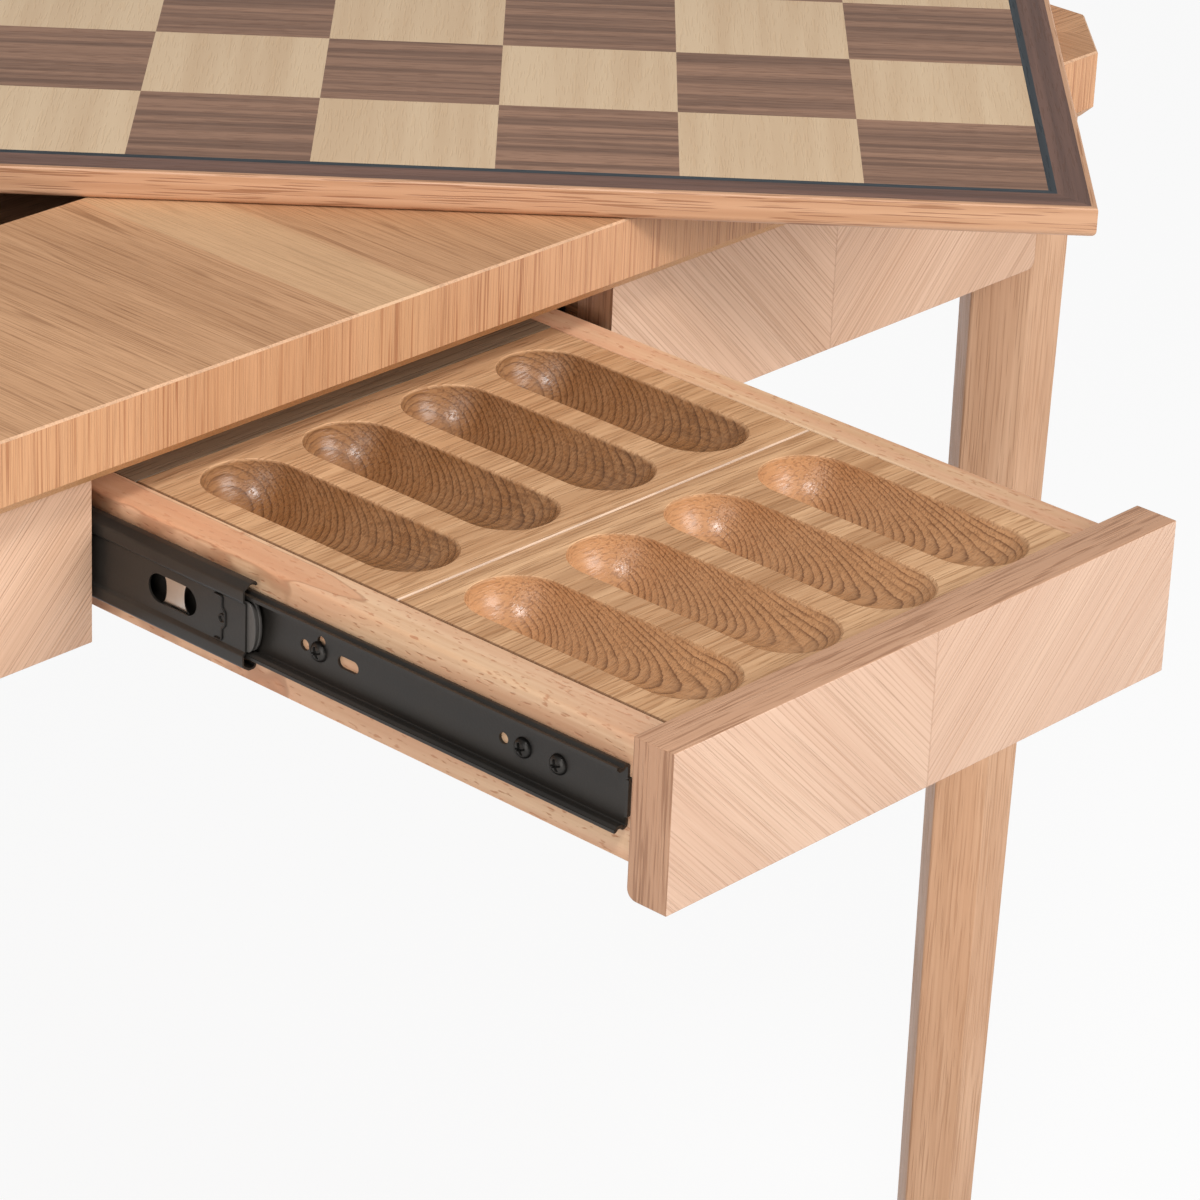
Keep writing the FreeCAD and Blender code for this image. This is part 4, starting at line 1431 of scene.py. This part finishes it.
class Workshop:
    """Makes every finish once, and dresses the CAD nodes that stay in view."""

    def __init__(self) -> None:
        """Makes the finishes."""
        self.top_across = TopVeneer("top_veneer_front_and_back", True).make()
        self.top_along = TopVeneer("top_veneer_left_and_right", False).make()
        self.front = ChevronVeneer("chevron_veneer_drawers", FRONT_OAK, True, 0.36).make()
        self.chevron_x = ChevronVeneer("chevron_veneer_front_and_back", APRON_OAK, True, 0.4, 0.0018).make()
        self.chevron_y = ChevronVeneer("chevron_veneer_left_and_right", APRON_OAK, False, 0.4, 0.0018).make()
        self.leg = SolidOak("leg_oak", LEG_OAK, Axis.Z, tone(190, 142, 106), 0.3).make()
        plain = SolidOak("drawer_oak", DRAWER_OAK, Axis.Y, tone(212, 154, 120), 0.42)
        self.drawer = plain.make()
        self.heart = replace(plain, name="drawer_oak_with_heart", tongue=HeartTongue()).make()
        # painted shade: the drawer back's dark grey tone stands in for the shadow under the top
        self.drawer_back = SolidOak("drawer_back_oak_painted_shade", SHADED_BACK_OAK, Axis.X, tone(132, 108, 84), 0.3).make()
        self.frame_y = SolidOak("runner_oak", FRAME_OAK, Axis.Y, tone(170, 124, 86), 0.3).make()
        self.block = SolidOak("block_oak", FRAME_OAK, Axis.Z, tone(170, 124, 86), 0.3).make()
        self.ply = SolidOak("plywood", FRAME_OAK, Axis.X, tone(196, 160, 120), 0.6).make()
        self.recess = BoardVeneer("recess_walnut", tone(186, 142, 108), tone(142, 104, 76), BoardPart.DARK_SQUARE,
                                  centre=(0.0, 0.0, 0.0), turn=0.0, roughness=0.5).make()
        self.walnut = BoardVeneer("walnut_squares", tone(172, 131, 106), tone(104, 76, 61),
                                  BoardPart.DARK_SQUARE).make()
        self.border = BoardVeneer("walnut_border", tone(128, 94, 80), tone(86, 63, 55), BoardPart.EDGE).make()
        self.maple = BoardVeneer("maple_squares", tone(226, 198, 163), tone(210, 178, 142), BoardPart.PALE_SQUARE,
                                 lines=90.0, pore=tone(190, 152, 112), pore_share=0.1).make()
        self.stringing = BoardVeneer("slate_stringing", tone(56, 65, 71), tone(42, 48, 53), BoardPart.EDGE,
                                     lines=400.0, pore=tone(34, 39, 43)).make()
        self.lipping = BoardVeneer("oak_lipping", tone(211, 165, 130), tone(186, 138, 103), BoardPart.EDGE, lines=300.0,
                                   pore_lines=1700.0, pore_dashes=42.0, pore=tone(138, 86, 52), pore_share=0.6).make()
        self.core = CoatedMetal("fibreboard", tone(170, 138, 104), tone(150, 118, 86), 0.0, 0.8, 500.0, 0.0001).make()
        self.steel = CoatedMetal("black_coated_steel", tone(31, 29, 26), tone(44, 39, 34), 0.0, 0.42).make()
        self.screw = CoatedMetal("black_oxide", tone(46, 44, 42), tone(70, 66, 62), 0.7, 0.36).make()
        self.bright = CoatedMetal("bright_steel", tone(205, 203, 198), tone(176, 172, 166), 1.0, 0.3).make()
        self.plated = CoatedMetal("zinc_plate", tone(188, 188, 184), tone(160, 158, 150), 1.0, 0.36).make()
        self.plastic = CoatedMetal("moulded_plastic", tone(84, 80, 76), tone(68, 64, 61), 0.0, 0.5).make()
        self.glide = CoatedMetal("glide_plastic", tone(44, 42, 40), tone(56, 53, 50), 0.0, 0.55).make()

    def finish_for(self, node: str) -> bpy.types.Material | None:
        """Chooses the finish of a CAD node by its name.

        Args:
            node: The node's name.

        Returns:
            Its material, or None for a node that a piece replaces.
        """
        rules = (
            (("top_front", "top_back"), self.top_across), (("top_left", "top_right"), self.top_along),
            (("apron_front", "apron_back"), self.chevron_x), (("apron_left", "apron_right"), self.chevron_y),
            (("front_drawer_back", "back_drawer_back"), self.drawer_back),
            (("front_drawer_bottom", "back_drawer_bottom"), self.ply),
            (("recess_floor_screws", "cabinet_rail_screws", "hanger_bolts", "bolt_nuts_and_washers"), self.plated),
            (("recess_floor", "board_ledges"), self.recess), (("runner",), self.frame_y),
            (("corner_blocks", "glue_blocks"), self.block), (("board_core",), self.core),
            (("board_lipping",), self.lipping), (("board_border",), self.border),
            (("board_stringing",), self.stringing), (("dark_squares",), self.walnut), (("light_squares",), self.maple),
            (("foot_glides",), self.glide), (("front_cabinet", "back_cabinet"), self.steel),
            (("front_outer", "back_outer", "front_inner", "back_inner"), self.bright),
        )
        return next((finish for starts, finish in rules if node.startswith(starts)), None)

    def dress_nodes(self) -> None:
        """Gives every CAD node that stays in view its finish. Pieces replace the others."""
        for name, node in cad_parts.items():
            finish = self.finish_for(name)
            if finish:
                for held in node.material_slots:
                    held.material = finish
                LOG.info("%s: %s", name, finish.name)


@dataclass
class Studio:
    """Pale floor, soft lights and the camera at the photograph's angle."""

    floor_half: float = 14.0
    eye: tuple[float, float, float] = (-1.2014, -1.6344, 1.4434)
    right: tuple[float, float, float] = (0.68038, -0.73174, 0.04050)
    up: tuple[float, float, float] = (0.29188, 0.32126, 0.90089)
    back: tuple[float, float, float] = (-0.67222, -0.60112, 0.43216)
    lens: float = 150.96
    shift: tuple[float, float] = (-0.0029, -0.0015)
    middle: tuple[float, float, float] = (0.1, -0.15, 0.68)
    world_level: float = 0.35
    floor_glow: float = 0.9
    sensor: float = 36.0
    far: float = 60.0

    def floor(self) -> None:
        """A wide pale floor that looks white to the camera and to polished metal, and keeps a soft shadow."""
        bench = Bench("pale_floor")
        spot = bench.place()
        cloud = bench.noise(spot.x * 3.0, spot.y * 3.0, 0.0)
        pale = bench.blend(cloud, tone(246, 246, 246), tone(250, 250, 250))
        matt = bench.node("ShaderNodeBsdfDiffuse", sockets={"Color": pale})
        glow = bench.node("ShaderNodeEmission", sockets={"Color": (1.0, 1.0, 1.0, 1.0), "Strength": 1.0})
        ray = bench.node("ShaderNodeLightPath", output="Is Camera Ray")
        seen = ray.largest(ray.of("Is Glossy Ray")).largest(ray.of("Is Transmission Ray"))
        bench.node_end(bench.node("ShaderNodeMixShader", sockets={0: seen * self.floor_glow, 1: matt, 2: glow}))
        mesh = bpy.data.meshes.new("floor")
        s = self.floor_half
        mesh.from_pydata([(-s, -s, 0), (s, -s, 0), (s, s, 0), (-s, s, 0)], [], [(0, 1, 2, 3)])
        mesh.materials.append(bench.owner)
        floor = bpy.data.objects.new("floor", mesh)
        bpy.context.scene.collection.objects.link(floor)

    def world(self) -> None:
        """Even white surroundings that light the piece at a low level and show white to the camera."""
        bench = Bench("studio_air", for_world=True)
        ray = bench.node("ShaderNodeLightPath", output="Is Camera Ray")
        seen = ray.largest(ray.of("Is Transmission Ray"))
        level = bench.node("ShaderNodeMix", sockets={0: seen, 2: self.world_level, 3: 1.0})
        bench.node_end(bench.node("ShaderNodeBackground", sockets={"Strength": level}))
        bpy.context.scene.world = bench.owner

    def light(self, name: str, way: Sequence[float], distance: float, size: float, watts: float) -> None:
        """Hangs a square soft light that looks at the middle of the table.

        Args:
            name: The light's name.
            way: Direction from the table to the light.
            distance: How far away it hangs, in metres.
            size: Its side, in metres.
            watts: Its power.
        """
        lamp = bpy.data.lights.new(name, "AREA")
        lamp.shape = "SQUARE"
        lamp.size = size
        lamp.energy = watts
        holder = bpy.data.objects.new(name, lamp)
        direction = Vector(way).normalized()
        holder.location = Vector(self.middle) + direction * distance
        holder.rotation_euler = direction.to_track_quat("Z", "Y").to_euler()
        bpy.context.scene.collection.objects.link(holder)

    def camera(self) -> None:
        """Sets the camera up by its three axes, at the photograph's lens and framing."""
        data = bpy.data.cameras.new("camera")
        data.sensor_width = self.sensor
        data.lens = self.lens
        data.shift_x, data.shift_y = self.shift
        data.clip_end = self.far
        holder = bpy.data.objects.new("camera", data)
        turn = Matrix((self.right, self.up, self.back)).transposed().to_4x4()
        holder.matrix_world = Matrix.Translation(self.eye) @ turn
        bpy.context.scene.collection.objects.link(holder)
        bpy.context.scene.camera = holder

    def build(self) -> None:
        """Sets up the floor, the air, the lights and the camera."""
        self.floor()
        self.world()
        self.light("key_from_the_front", (0.25, -0.8, 0.38), distance=3.0, size=1.6, watts=52.0)
        self.light("soft_above_the_camera", (-0.438, -0.52, 0.732), distance=2.65, size=0.45, watts=31.0)
        self.light("fill_from_the_left", (-1.0, -0.5, 0.2), distance=3.2, size=2.0, watts=30.0)
        self.camera()
        bpy.context.scene.view_settings.view_transform = "Standard"


WELL_FIGURES = {
    "fore": WellFigure(well=tone(190, 136, 91), line=tone(94, 54, 26), ring=0.0016, zebra=0.42, low_point=0.02,
                       bowl_share=0.12, ray_share=0.12),
    "rear": WellFigure(well=tone(134, 85, 42), line=tone(70, 39, 17), ring=0.0024, zebra=0.2, low_point=-0.045,
                       bowl_share=0.7, ray_share=0.3, glint=0.3),
}
LEG_TURNS = {"front_right": 0, "back_right": 90, "back_left": 180, "front_left": 270}


def build_drawer(end: End, shop: Workshop) -> None:
    """Builds the pieces of one drawer and its slides.

    Args:
        end: Which end of the table.
        shop: The finishes.
    """
    drawer = f"{end.word}_drawer"
    for where, figure in WELL_FIGURES.items():
        node = f"{drawer}_tray_{where}"
        low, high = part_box(node)
        toe = low.y if end is End.FRONT else high.y
        low_point = toe + end.inward * figure.low_point
        oak = TrayOak(f"{end.word}_{where}_tray_oak", high.z, high.x, low_point, toe, end.inward, figure)
        PieceTray(node, drawer, oak.make(), end).build()
    DrawerFront(f"{drawer}_front", drawer, shop.front, end).build()
    for side in SIDES:
        left = side * end.inward < 0
        finish = shop.heart if left and end is End.FRONT else shop.drawer
        DrawerSide(f"{drawer}_side_{'left' if left else 'right'}", drawer, finish, side).build()
    middle, rail = middle_rail(end, shop.steel), drawer_rail(end, shop.steel)
    middle.build()
    rail.build()
    small = SlideSmallParts(end, shop, middle, rail)
    small.bumpers()
    small.lock_plates()
    small.clips()
    small.screw_heads()


def main() -> None:
    """Builds the table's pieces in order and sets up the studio."""
    logging.basicConfig(level=logging.INFO, format="%(name)s %(message)s")
    shop = Workshop()
    shop.dress_nodes()
    for corner, turn in LEG_TURNS.items():
        TaperedLeg(f"leg_{corner}", "table", shop.leg, turn).build()
    for end in End:
        build_drawer(end, shop)
    Studio().build()


if __name__ == "__main__":
    main()
